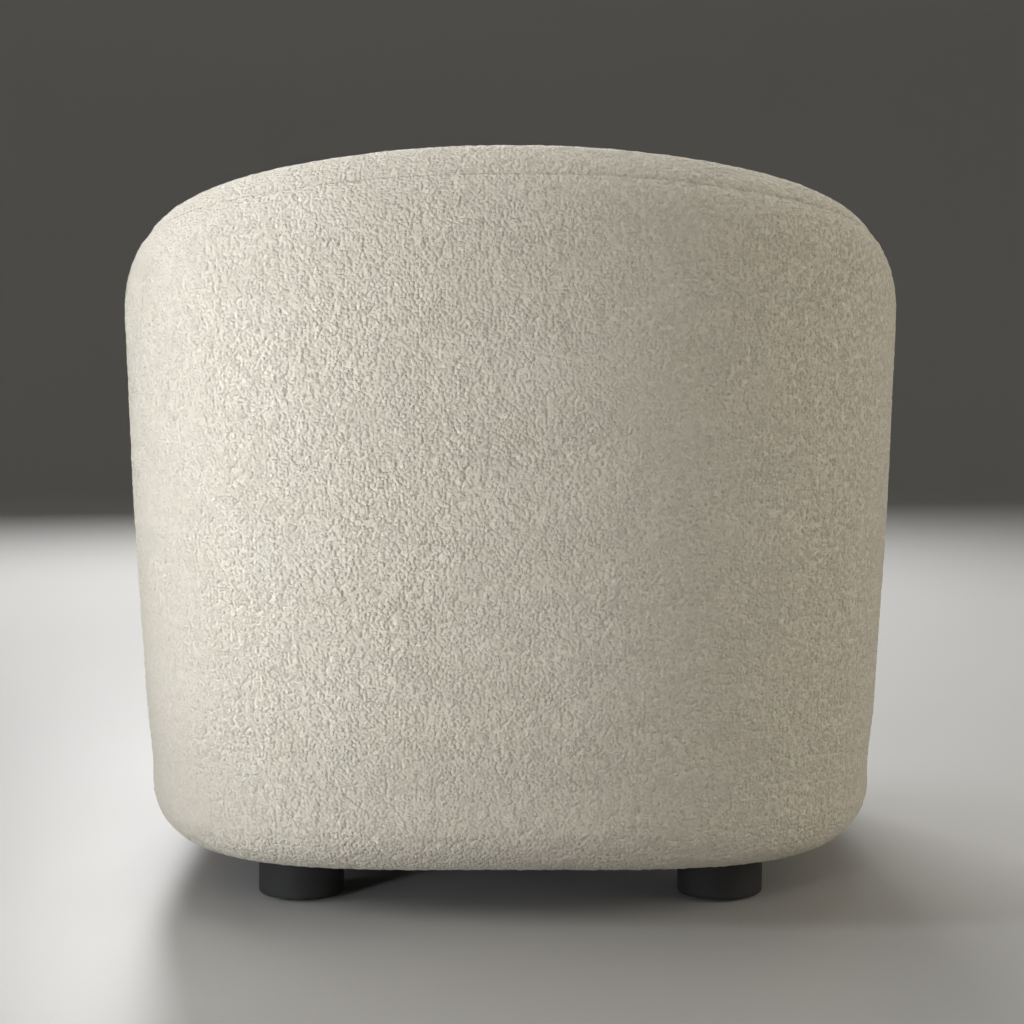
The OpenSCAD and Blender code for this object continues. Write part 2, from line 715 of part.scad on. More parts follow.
// The foam inside a nose stands round the rounded end of the base board, its core
module nose_foam(side) {
    core_r = wall / 2 - edge_r - fit_gap;
    function core(k) = [for (z = [base_top, base_z]) nose_point(1, nose_turn_step * k, core_r, z)];
    rows = [for (k = [0:nose_steps]) concat(core(k), nose_rows(1, k, cover_t))];
    core_rows = 2;
    level = core_rows + len(edge_steps) - 1;
    n = len(rows);
    m = len(rows[0]);
    p = concat(flat(rows), [nose_top(1, cover_t), nose_point(1, 0, 0, base_top)]);
    tip = n * m;
    low = tip + 1;
    e = (n - 1) * m;
    skin = flat([for (i = [0:n - 2]) for (j = [0:m - 2])
        quad(p, i * m + j, (i + 1) * m + j, (i + 1) * m + j + 1, i * m + j + 1)]);
    crown = [for (i = [0:n - 2]) [i * m + m - 1, (i + 1) * m + m - 1, tip]];
    bottom = [for (i = [0:n - 2]) [(i + 1) * m, i * m, low]];
    rear = flat([for (j = [level:m - 2]) quad(p, j, j + 1, e + j + 1, e + j)]);
    rear_top = [[m - 1, tip, e + m - 1]];
    rear_low = concat(
        [[low, 0, level], [low, level, e + level], [low, e + level, e]],
        [for (j = [1:level - 1]) [0, j, j + 1]],
        [for (j = [1:level - 1]) [e, e + j + 1, e + j]]);
    color("khaki")
        mirrored(side)
            polyhedron(p, concat(skin, crown, bottom, rear, rear_top, rear_low));
}

// Seat cushion

// Fullest outline, from the middle of the back round to the front and back again
cushion_z = deck_h + fit_gap;
cushion_r = front_r - cushion_setback;
cushion_side_x = place(last, inner_point(last, -cushion_gap, deck_h))[0];
cushion_corner_x = cushion_side_x - cushion_corner_r;
cushion_corner_y =
    front_c - sqrt(pow(cushion_r - cushion_corner_r, 2) - pow(cushion_corner_x, 2));
cushion_corner_turn = atan2(cushion_corner_x, front_c - cushion_corner_y);
cushion_corner_steps = 4;
cushion_front_steps = 4;
function cushion_half() = concat(
    [for (i = [0:last]) let (q = place(i, inner_point(i, -cushion_gap, deck_h))) [q[0], q[1]]],
    [for (k = [0:cushion_corner_steps])
        let (t = -(90 - cushion_corner_turn) * k / cushion_corner_steps)
        [cushion_corner_x + cushion_corner_r * cos(t), cushion_corner_y + cushion_corner_r * sin(t)]],
    [for (k = [1:cushion_front_steps])
        let (t = cushion_corner_turn * (1 - k / cushion_front_steps))
        [cushion_r * sin(t), front_c - cushion_r * cos(t)]]);
cushion_right = cushion_half();
cushion_outline = concat(
    reversed([for (k = [1:len(cushion_right) - 2]) [-cushion_right[k][0], cushion_right[k][1]]]),
    cushion_right);
cushion_middle = [0, (seat_back_y + seat_front_y) / 2];
// A loop d mm in from the fullest outline, at height z
function cushion_loop(d, z) =
    [for (q = cushion_outline) let (v = q - cushion_middle, r = norm(v), c = cushion_middle + v * (1 - d / r))
        [c[0], c[1], z]];
// A loop at a share of the outline's size
function cushion_share_loop(d, share, z) =
    [for (q = cushion_loop(d, z)) [q[0] * share, cushion_middle[1] + (q[1] - cushion_middle[1]) * share, z]];
function cushion_point(z) = [0, cushion_middle[1], z];

lower_seam_z = cushion_z + cushion_lower;
upper_seam_z = cushion_z + cushion_seam_h;
crown_shares = [0.25, 0.5, 0.7, 0.84, 0.93];
crown_power = 2.6;
function crown_z(share, d) = upper_seam_z - d + (cushion_crown) * (1 - pow(share, crown_power));
boxing_shares = [0, 0.2, 0.5, 0.8, 1];
function boxing_z(share) = lower_seam_z + share * (upper_seam_z - lower_seam_z);
function boxing_in(share) = cushion_draw * pow(2 * share - 1, 2);

module cushion_top() {
    lining = [for (share = crown_shares) cushion_share_loop(cushion_draw + cover_t, share, crown_z(share, cover_t))];
    skin = [for (share = reversed(crown_shares)) cushion_share_loop(cushion_draw, share, crown_z(share, 0))];
    color("ivory")
        domed_solid(
            cushion_point(crown_z(0, cover_t)),
            concat(
                lining,
                [cushion_loop(cushion_draw + cover_t, upper_seam_z)],
                [cushion_loop(cushion_draw, upper_seam_z)],
                skin),
            cushion_point(crown_z(0, 0)));
}

module cushion_boxing() {
    color("ivory")
        ring_solid(concat(
            [for (share = boxing_shares) cushion_loop(boxing_in(share), boxing_z(share))],
            [for (share = reversed(boxing_shares)) cushion_loop(boxing_in(share) + cover_t, boxing_z(share))]));
}

// The bottom panel lies flat and turns up to its seam
bottom_flat_in = 2 * cushion_lower + cushion_draw;
module cushion_bottom() {
    color("dimgray")
        domed_solid(
            cushion_point(cushion_z),
            [cushion_loop(bottom_flat_in, cushion_z),
             cushion_loop(cushion_draw, lower_seam_z),
             cushion_loop(cushion_draw + cover_t, lower_seam_z),
             cushion_loop(bottom_flat_in + cover_t, cushion_z + cover_t)],
            cushion_point(cushion_z + cover_t));
}

module cushion_core() {
    color("khaki")
        domed_solid(
            cushion_point(cushion_z + cover_t),
            concat(
                [cushion_loop(bottom_flat_in + cover_t, cushion_z + cover_t)],
                [for (share = boxing_shares) cushion_loop(boxing_in(share) + cover_t, boxing_z(share))],
                [for (share = reversed(crown_shares))
                    cushion_share_loop(cushion_draw + cover_t, share, crown_z(share, cover_t))]),
            cushion_point(crown_z(0, cover_t)));
}

// Feet

foot_places = [[foot_x, -foot_y], [-foot_x, -foot_y], [foot_x, foot_y], [-foot_x, foot_y]];
foot_top = under_z - dust_t;

module at_foot(k) {
    translate([foot_places[k - 1][0], foot_places[k - 1][1], 0])
        children();
}

module foot(k) {
    r = foot_d / 2;
    e = foot_edge_r;
    color("black")
        at_foot(k)
            difference() {
                rotate_extrude($fn = 96)
                    union() {
                        translate([0, glide_t])
                            square([r - e, foot_top - glide_t]);
                        translate([0, glide_t + e])
                            square([r, foot_top - glide_t - 2 * e]);
                        for (z = [glide_t + e, foot_top - e])
                            translate([r - e, z])
                                circle(e, $fn = 32);
                    }
                translate([0, 0, foot_top - stud_in_foot - fit_gap])
                    cylinder(h = stud_in_foot + fit_gap + over, r = stud_d / 2 + bore_gap);
            }
}

module glide(k) {
    color("dimgray")
        at_foot(k)
            cylinder(h = glide_t, r = glide_d / 2);
}

module foot_studs() {
    color("silver")
        for (k = [1:4])
            at_foot(k)
                translate([0, 0, foot_top - stud_in_foot])
                    cylinder(h = stud_in_foot + base_top - foot_top, r = stud_d / 2);
}

module foot_nuts() {
    color("silver")
        for (k = [1:4])
            at_foot(k)
                difference() {
                    union() {
                        translate([0, 0, base_top])
                            cylinder(h = nut_plate_t, r = nut_plate_d / 2);
                        translate([0, 0, base_top - nut_barrel_l])
                            cylinder(h = nut_barrel_l + nut_plate_t / 2, r = nut_barrel_r);
                    }
                    translate([0, 0, base_top - nut_barrel_l - over])
                        cylinder(h = nut_barrel_l + nut_plate_t + 2 * over, r = stud_d / 2 + bore_gap);
                }
}

outside_cover();
inside_cover();
nose_cover(1);  // nose_cover_left
nose_cover(-1);  // nose_cover_right
front_cover();
outside_wadding();
inside_foam();
rim_foam();
nose_foam(1);  // nose_foam_left
nose_foam(-1);  // nose_foam_right
front_foam();
outer_board();
inner_board();
top_rail();
base_board();
front_board();
seat_ring();
arm_panel(1);  // arm_panel_left
arm_panel(-1);  // arm_panel_right
rib(1);  // rib_1
rib(2);  // rib_2
rib(3);  // rib_3
rib(4);  // rib_4
rib(5);  // rib_5
rib(6);  // rib_6
rib(7);  // rib_7
rib(8);  // rib_8
rib(9);  // rib_9
strap_long(1);  // strap_long_1
strap_long(2);  // strap_long_2
strap_long(3);  // strap_long_3
strap_long(4);  // strap_long_4
strap_cross(1);  // strap_cross_1
strap_cross(2);  // strap_cross_2
strap_cross(3);  // strap_cross_3
strap_cross(4);  // strap_cross_4
deck_cloth();
dust_cover();
cushion_top();
cushion_boxing();
cushion_bottom();
cushion_core();
foot(1);  // foot_1
foot(2);  // foot_2
foot(3);  // foot_3
foot(4);  // foot_4
glide(1);  // glide_1
glide(2);  // glide_2
glide(3);  // glide_3
glide(4);  // glide_4
foot_studs();
foot_nuts();
base_screws();
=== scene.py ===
import math

import bmesh
import bpy
import numpy as np
from bpy.props import FloatProperty, FloatVectorProperty, IntProperty, PointerProperty
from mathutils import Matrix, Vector
from mathutils.bvhtree import BVHTree


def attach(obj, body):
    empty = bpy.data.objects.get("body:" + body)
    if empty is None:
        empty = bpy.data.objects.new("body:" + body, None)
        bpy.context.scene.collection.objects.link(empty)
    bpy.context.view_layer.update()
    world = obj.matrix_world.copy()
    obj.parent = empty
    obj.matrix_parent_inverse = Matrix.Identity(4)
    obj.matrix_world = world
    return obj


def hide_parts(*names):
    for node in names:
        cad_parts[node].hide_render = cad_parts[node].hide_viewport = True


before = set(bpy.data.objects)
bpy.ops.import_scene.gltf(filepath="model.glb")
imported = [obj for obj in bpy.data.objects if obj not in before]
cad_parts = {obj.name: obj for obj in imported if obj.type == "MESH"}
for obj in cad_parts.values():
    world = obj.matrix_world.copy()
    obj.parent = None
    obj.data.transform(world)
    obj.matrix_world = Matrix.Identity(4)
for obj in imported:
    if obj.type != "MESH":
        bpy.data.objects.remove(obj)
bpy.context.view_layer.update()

bl_info = {
    "name": "Tub chair",
    "version": (1, 0, 0),
    "blender": (4, 5, 0),
    "location": "3D View > Sidebar > Tub chair",
    "description": "Dresses the packed frame of a tub chair in looped cloth, with its cushion, feet and stage",
    "category": "Object",
}

# Sizes of the chair in metres, as the solids have them.
HALF_W = 0.375
HALF_D = 0.370
BACK_H = 0.710
RIM_DROP = 0.184
RIM_LEVEL_ANGLE = 150
RIM_POWER = 1.1
PLAN_POWER = 3.3
INNER_POWER = 3.0
ARM_CURVE = HALF_D + 0.190
ARM_LEN = HALF_D - 0.080
WALL = 0.128
RIM_RISE = 0.088
LEAN = math.tan(math.radians(2.5))
RECLINE = math.tan(math.radians(8.5))
RECLINE_EASE = 0.03
EDGE_R = 0.055
UNDER_Z = 0.050
BASE_Z = 0.053
EDGE_TOP = UNDER_Z + EDGE_R
FLAP_W = 0.045
COVER_T = 0.003
RIM_SEAM = math.degrees(math.asin(1 - 0.025 / RIM_RISE))
BACK_BAYS = 12
LAST = 17
RING_TOP = 0.280
DECK_Z = 0.284
DECK_H = 0.285
FRONT_BOW = 0.087
FRONT_R = ((HALF_W - WALL / 2) ** 2 + FRONT_BOW**2) / (2 * FRONT_BOW)
FRONT_C = FRONT_R - HALF_D
FRONT_BOARD_R = FRONT_R - EDGE_R
FRONT_EDGE_R = 0.020
LIP_R = FRONT_BOARD_R - 0.030
CUSHION_Z = DECK_H + 0.0003
CUSHION_LOWER = 0.010
CUSHION_SEAM_H = 0.112
CUSHION_CROWN = 0.033
CUSHION_DRAW = 0.007
CUSHION_GAP = 0.003
CUSHION_R = FRONT_R - 0.005
CUSHION_CORNER_R = 0.045
CUSHION_BACK_Y = 0.1767
CUSHION_MIDDLE = np.array([0.0, (CUSHION_BACK_Y + FRONT_C - FRONT_BOARD_R) / 2])
CROWN_POWER = 2.6
DUST_T = 0.001
DUST_LAP = 0.018

# Sizes of what only the cloth and the small fittings have.
SEAM_REACH = 0.012
SEAM_BARE = 0.0025
RIM_ARC_R = 0.078
RIM_LOW_RUN = 0.062
RIM_OVER_RUN = 0.185
NOSE_CAP_RUN = 0.12
CLUMP = 2.4
CUSHION_SLACK = 0.002
CUSHION_VOXEL = 0.0055
CUSHION_STEP = 0.006
SHEET_GAP = 0.0001
STAPLE_INSET = 0.007
STAPLE_SPACING = 0.034
ZIP_Z = 0.346
ZIP_HALF_TURN = 0.66
ZIP_HALF_W = 0.006
ZIP_SINK = 0.0022
TOOTH_SPACING = 0.0021


# Shape of the padded wall


def crest_at(angle):
    """Height of the rim at an angle in degrees from the middle of the back."""
    level = np.minimum(np.asarray(angle, float) / RIM_LEVEL_ANGLE, 1)
    return BACK_H - RIM_DROP * (1 - np.cos(np.pi * level**RIM_POWER)) / 2


LEAN_Z = float(crest_at(90)) - RIM_RISE
BACK_REACH = HALF_D - LEAN * (float(crest_at(0)) - RIM_RISE - LEAN_Z)


def plan_radius(phi, a, b, power):
    """Distance from the middle to a plan curve of half-width a and half-depth b."""
    return (np.abs(np.sin(phi) / a) ** power + np.abs(np.cos(phi) / b) ** power) ** (-1 / power)


class Wall:
    """The padded wall at places u along its sweep, from -17 at the right nose to 17 at the left one."""

    def __init__(self, u):
        u = np.asarray(u, float)
        side = np.where(u < 0, -1.0, 1.0)
        k = np.abs(u)
        phi = np.radians(90 * np.minimum(k / BACK_BAYS, 1))
        r_out = plan_radius(phi, HALF_W, BACK_REACH, PLAN_POWER)
        r_in = plan_radius(phi, HALF_W - WALL, BACK_REACH - WALL, INNER_POWER)
        y = ARM_LEN * np.maximum(k - BACK_BAYS, 0) / (LAST - BACK_BAYS)
        x = HALF_W * (1 - (y / ARM_CURVE) ** PLAN_POWER) ** (1 / PLAN_POWER)
        gx = (x / HALF_W) ** (PLAN_POWER - 1) / HALF_W
        gy = (y / ARM_CURVE) ** (PLAN_POWER - 1) / ARM_CURVE
        n = np.hypot(gx, gy)
        arm = k > BACK_BAYS
        out_x = np.where(arm, side * gx / n, side * np.sin(phi))
        out_y = np.where(arm, -gy / n, np.cos(phi))
        self.x = np.where(arm, side * x, r_out * side * np.sin(phi))
        self.y = np.where(arm, -y, r_out * np.cos(phi))
        self.out_x = out_x
        self.out_y = out_y
        self.w = np.where(arm, WALL, r_out - r_in)
        self.share = np.where(arm, 0.0, 1 - np.sin(phi) ** 4)
        angle = np.where(arm, 90 + np.degrees(np.arctan2(y, x)), np.degrees(phi))
        self.crest = crest_at(angle)
        self.spring = self.crest - RIM_RISE

    def place(self, s, z):
        """Points s in from the outside face at height z, as an array of x, y, z."""
        reach = s + LEAN * (LEAN_Z - z)
        return np.stack([self.x - self.out_x * reach, self.y - self.out_y * reach, z + 0 * reach], -1)

    def inner(self, z):
        """Distance in of the inside face at height z. The recline eases in below the rim."""
        below = np.maximum(self.spring - z, 0)
        eased = below - RECLINE_EASE * (1 - np.exp(-below / RECLINE_EASE))
        return self.w + RECLINE * self.share * eased


def even_places(step):
    """Places along the sweep, evenly spaced along the outside face."""
    u = np.linspace(-LAST, LAST, 6001)
    wall = Wall(u)
    run = np.concatenate([[0], np.cumsum(np.hypot(np.diff(wall.x), np.diff(wall.y)))])
    count = int(round(run[-1] / step))
    marks = np.linspace(0, run[-1], count + 1)
    return np.interp(marks, run, u), marks, run[-1]


NOSE = Wall([LAST])
NOSE_OUT = np.array([NOSE.out_x[0], NOSE.out_y[0]])
NOSE_FWD = np.array([NOSE_OUT[1], -NOSE_OUT[0]])
NOSE_SPRING = float(NOSE.spring[0])


def nose_middle(z):
    """Middle of the left nose at heights z."""
    return NOSE.place(np.full_like(z, WALL / 2), z)[..., :2]


def ease(t):
    t = np.clip(t, 0, 1)
    return t * t * (3 - 2 * t)


def seam_dip(distance, depth, reach=SEAM_REACH):
    """How far the cloth is drawn in beside a seam, by the distance from it."""
    return depth * ease(1 - distance / reach)


def fullness(z):
    """How far the padding swells out at mid-height, and draws in above the rounded bottom edge."""
    return 0.0020 * np.exp(-(((z - 0.37) / 0.12) ** 2)) - 0.0030 * np.exp(-(((z - 0.125) / 0.035) ** 2))


# Meshes


def show(name, mesh):
    obj = bpy.data.objects.new(name, mesh)
    bpy.context.scene.collection.objects.link(obj)
    return obj


def smooth(mesh):
    mesh.polygons.foreach_set("use_smooth", [True] * len(mesh.polygons))


def new_piece(name, points, faces, materials=()):
    mesh = bpy.data.meshes.new(name)
    mesh.from_pydata([tuple(p) for p in points], [], faces)
    mesh.validate()
    mesh.update()
    give_materials(mesh, *materials)
    smooth(mesh)
    return show(name, mesh)


def give_materials(mesh, *materials):
    mesh.materials.clear()
    for material in materials:
        mesh.materials.append(material)


def read(items, key, width=1, kind=float):
    """The values of all points of a mesh, or of an attribute, with a row each where they are wider."""
    values = np.zeros(len(items) * width, kind)
    items.foreach_get(key, values)
    return values.reshape(-1, width) if width > 1 else values


def note(mesh, name, values, kind="FLOAT", key="value"):
    """Keeps a value with each point of a mesh."""
    attribute = mesh.attributes.new(name, kind, "POINT")
    attribute.data.foreach_set(key, np.asarray(values, np.float32).reshape(-1))


def settle(obj):
    """Keeps what obj's modifiers make of it as its plain mesh, and takes them off."""
    bpy.context.view_layer.update()
    evaluated = obj.evaluated_get(bpy.context.evaluated_depsgraph_get())
    old = obj.data
    mesh = bpy.data.meshes.new_from_object(evaluated)
    obj.modifiers.clear()
    obj.data = mesh
    mesh.name = obj.name
    bpy.data.meshes.remove(old)
    return mesh


def grid_faces(rows, columns, close_rows=False, close_columns=False, first=0):
    """Quads of a grid of points, row by row. Closing joins the last row or column to the first."""
    r = np.arange(rows if close_rows else rows - 1)
    c = np.arange(columns if close_columns else columns - 1)
    rr, cc = np.meshgrid(r, c, indexing="ij")
    r2, c2 = (rr + 1) % rows, (cc + 1) % columns
    quads = np.stack([rr * columns + cc, rr * columns + c2, r2 * columns + c2, r2 * columns + cc], -1)
    return (quads.reshape(-1, 4) + first).tolist()


def outward(obj, merge=True):
    """Turns the faces of a closed piece outwards, after merging its doubled points."""
    bm = bmesh.new()
    bm.from_mesh(obj.data)
    if merge:
        bmesh.ops.remove_doubles(bm, verts=bm.verts, dist=1e-6)
    bmesh.ops.recalc_face_normals(bm, faces=bm.faces)
    bm.to_mesh(obj.data)
    bm.free()
    smooth(obj.data)
    return obj


def looped_cover(name, skin, backing, raised):
    """A closed thin cover with its loops raised. Skin and backing are grids of points, rows by columns,
    whose first and last rows are neighbours, and the two ends are closed flat. Raised says how much
    the loops of each point of the skin stand up, from 0 to 1."""
    backing = np.array(backing)
    rows = np.concatenate([np.array(skin), backing[::-1]])
    n, m = rows.shape[:2]
    faces = grid_faces(n, m, close_rows=True)
    faces.append([i * m for i in range(n)])
    faces.append([i * m + m - 1 for i in reversed(range(n))])
    cloth = finish("boucle_cream")
    obj = new_piece(name, rows.reshape(-1, 3), faces, [cloth])
    note(obj.data, "raised", np.concatenate([np.array(raised), np.zeros(backing.shape[:2])]))
    return raise_loops(outward(obj, merge=False), cloth)


# Node helpers


def feed(tree, socket, value):
    """Links a socket to another one or gives it a plain value. None leaves it as it is."""
    if isinstance(value, bpy.types.NodeSocket):
        tree.links.new(value, socket)
    elif value is not None:
        socket.default_value = value


def add(tree, kind, inputs=None, **settings):
    """A node with its settings, and with what its inputs take, by their names or numbers."""
    node = tree.nodes.new(kind)
    for key, value in settings.items():
        setattr(node, key, value)
    for key, value in (inputs or {}).items():
        if value is not None:
            feed(tree, node.inputs[key], value)
    return node


def math_node(tree, operation, *values, clamp=False):
    node = add(tree, "ShaderNodeMath", dict(enumerate(values)), operation=operation, use_clamp=clamp)
    return node.outputs[0]


def vector_node(tree, operation, a, b=None, scale=None):
    node = add(tree, "ShaderNodeVectorMath", {0: a, 1: b, "Scale": scale}, operation=operation)
    return node.outputs["Value" if operation == "DOT_PRODUCT" else "Vector"]


def group_tree(name, kind, inputs, outputs):
    tree = bpy.data.node_groups.new(name, kind)
    for label, socket, default in inputs:
        s = tree.interface.new_socket(name=label, in_out="INPUT", socket_type=socket)
        if default is not None:
            s.default_value = default
    for label, socket in outputs:
        tree.interface.new_socket(name=label, in_out="OUTPUT", socket_type=socket)
    return tree, tree.nodes.new("NodeGroupInput").outputs, tree.nodes.new("NodeGroupOutput").inputs


def kept_group(name, make):
    """The node group of that name, made when it is first asked for."""
    return bpy.data.node_groups.get(name) or make(name)


def loop_pattern(tree, position, size, warp):
    """Height and random colour of each loop of yarn: bent, crowded cells round scattered points.
    It makes the same pattern in a shader and in geometry."""
    scale = math_node(tree, "DIVIDE", 1.0, size)
    slow = math_node(tree, "MULTIPLY", scale, 0.42)
    waver = {"Vector": position, "Scale": slow, "Detail": 2.5, "Roughness": 0.6}
    noise = add(tree, "ShaderNodeTexNoise", waver).outputs["Color"]
    centred = vector_node(tree, "SUBTRACT", noise, (0.5, 0.5, 0.5))
    shift = vector_node(tree, "SCALE", centred, scale=math_node(tree, "MULTIPLY", size, warp))
    bent = vector_node(tree, "ADD", position, shift)
    scatter = {"Vector": bent, "Scale": scale, "Randomness": 0.9}
    cells = add(tree, "ShaderNodeTexVoronoi", scatter, feature="F1").outputs
    spread = math_node(tree, "MULTIPLY", cells["Distance"], 1.15)
    fall = math_node(tree, "MULTIPLY", spread, spread)
    dome = math_node(tree, "POWER", math_node(tree, "SUBTRACT", 1.0, fall, clamp=True), 2.0)
    chance = add(tree, "ShaderNodeSeparateXYZ", {0: cells["Color"]}).outputs[0]
    tall = math_node(tree, "MULTIPLY_ADD", chance, 0.5, 0.5)
    return math_node(tree, "MULTIPLY", dome, tall), cells["Color"]


def geometry_tree(name, inputs):
    """A geometry tree that takes geometry, its own inputs and a material."""
    inputs = [("Geometry", "NodeSocketGeometry", None), *inputs, ("Material", "NodeSocketMaterial", None)]
    return group_tree(name, "GeometryNodeTree", inputs, [("Geometry", "NodeSocketGeometry")])


def close_tree(tree, geometry, material, exit_):
    """Ends a geometry tree: its copies become real and take the material."""
    real = add(tree, "GeometryNodeRealizeInstances", {0: geometry}).outputs[0]
    paint = add(tree, "GeometryNodeSetMaterial", {"Geometry": real, "Material": material})
    feed(tree, exit_[0], paint.outputs[0])
    return tree


def pile_tree(name):
    """Geometry nodes that raise the loops of the cloth off a cover, and note each point's place on
    the smooth cloth, which its material follows."""
    inputs = [
        ("Loop Size", "NodeSocketFloat", 0.008),
        ("Loop Height", "NodeSocketFloat", 0.001),
        ("Warp", "NodeSocketFloat", 0.7),
        ("Seed", "NodeSocketInt", 3),
    ]
    tree, entry, exit_ = geometry_tree(name, inputs)
    position = add(tree, "GeometryNodeInputPosition").outputs[0]
    seed_step = vector_node(tree, "SCALE", (0.37, 0.71, 0.53), scale=entry["Seed"])
    place = vector_node(tree, "ADD", position, seed_step)
    height, _ = loop_pattern(tree, place, entry["Loop Size"], entry["Warp"])
    raised = add(tree, "GeometryNodeInputNamedAttribute", {"Name": "raised"}, data_type="FLOAT").outputs[0]
    lifted = math_node(tree, "MULTIPLY", height, raised)
    amount = math_node(tree, "MULTIPLY", lifted, entry["Loop Height"])
    normal = add(tree, "GeometryNodeInputNormal").outputs[0]
    keep = add(
        tree,
        "GeometryNodeStoreNamedAttribute",
        {"Geometry": entry["Geometry"], "Name": "cloth_place", "Value": place},
        data_type="FLOAT_VECTOR",
        domain="POINT",
    )
    offset = vector_node(tree, "SCALE", normal, scale=amount)
    move = add(tree, "GeometryNodeSetPosition", {"Geometry": keep.outputs[0], "Offset": offset})
    return close_tree(tree, move.outputs[0], entry["Material"], exit_)


def row_tree(name):
    """Geometry nodes that set a small piece at even steps along a path, its Z to the path's outward
    side and its X along the path. Every second one is moved across by the stagger."""
    inputs = [
        ("Piece", "NodeSocketObject", None),
        ("Spacing", "NodeSocketFloat", 0.03),
        ("Stagger", "NodeSocketFloat", 0.0),
    ]
    tree, entry, exit_ = geometry_tree(name, inputs)
    curve = add(tree, "GeometryNodeMeshToCurve", {0: entry["Geometry"]}).outputs[0]
    even = add(tree, "GeometryNodeResampleCurve", {"Curve": curve, "Length": entry["Spacing"]}, mode="LENGTH")
    named = add(tree, "GeometryNodeInputNamedAttribute", {"Name": "outward"}, data_type="FLOAT_VECTOR")
    side = named.outputs[0]
    tangent = add(tree, "GeometryNodeInputTangent").outputs[0]
    turn = add(
        tree,
        "FunctionNodeAxesToRotation",
        {"Primary Axis": side, "Secondary Axis": tangent},
        primary_axis="Z",
        secondary_axis="X",
    )
    index = add(tree, "GeometryNodeInputIndex").outputs[0]
    swing = math_node(tree, "SUBTRACT", math_node(tree, "MODULO", index, 2.0), 0.5)
    step = math_node(tree, "MULTIPLY", swing, entry["Stagger"])
    shift = vector_node(tree, "SCALE", vector_node(tree, "CROSS_PRODUCT", side, tangent), scale=step)
    move = add(tree, "GeometryNodeSetPosition", {"Geometry": even.outputs[0], "Offset": shift})
    part = add(tree, "GeometryNodeObjectInfo", {"Object": entry["Piece"]})
    copies = add(
        tree,
        "GeometryNodeInstanceOnPoints",
        {"Points": move.outputs[0], "Instance": part.outputs["Geometry"], "Rotation": turn.outputs[0]},
    )
    return close_tree(tree, copies.outputs[0], entry["Material"], exit_)


def row_of(name, path, side, small, spacing, stagger, material):
    """Copies of a small mesh along a path of points, made one plain mesh. The small mesh is used up."""
    mesh = bpy.data.meshes.new(name)
    mesh.from_pydata([tuple(p) for p in path], [(i, i + 1) for i in range(len(path) - 1)], [])
    note(mesh, "outward", side, "FLOAT_VECTOR", "vector")
    obj = show(name, mesh)
    tree = kept_group("Row along a path", row_tree)
    bake_nodes(obj, tree, {"Piece": small, "Spacing": spacing, "Stagger": stagger, "Material": material})
    bpy.data.objects.remove(small)
    give_materials(obj.data, material)
    return outward(obj)


def bar(name, path, half_wide, half_thick):
    """A small closed bar of four-sided section along a path of (x, z) points."""
    points = []
    path = np.asarray(path, float)
    run = np.gradient(path, axis=0)
    run /= np.hypot(run[:, 0], run[:, 1])[:, None]
    for (x, z), (dx, dz) in zip(path, run):
        for wide, thick in ((-1, -1), (1, -1), (1, 1), (-1, 1)):
            n = thick * half_thick
            points.append((x - dz * n, wide * half_wide, z + dx * n))
    faces = grid_faces(len(path), 4, close_columns=True)
    faces += [[3, 2, 1, 0], [len(points) - 4 + i for i in range(4)]]
    return new_piece(name, points, faces)


def bake_nodes(obj, tree, inputs):
    """Runs a geometry tree on obj and keeps its result as obj's plain mesh."""
    modifier = obj.modifiers.new("Nodes", "NODES")
    modifier.node_group = tree
    for item in tree.interface.items_tree:
        if item.item_type == "SOCKET" and item.in_out == "INPUT" and item.name in inputs:
            modifier[item.identifier] = inputs[item.name]
    settle(obj)


def raise_loops(obj, material):
    cloth = bpy.context.scene.chair_cloth
    inputs = {
        "Loop Size": cloth.loop_size * CLUMP,
        "Loop Height": cloth.loop_height,
        "Warp": cloth.loop_bend,
        "Seed": cloth.seed,
        "Material": material,
    }
    bake_nodes(obj, kept_group("Raise loops", pile_tree), inputs)
    return obj


# Materials


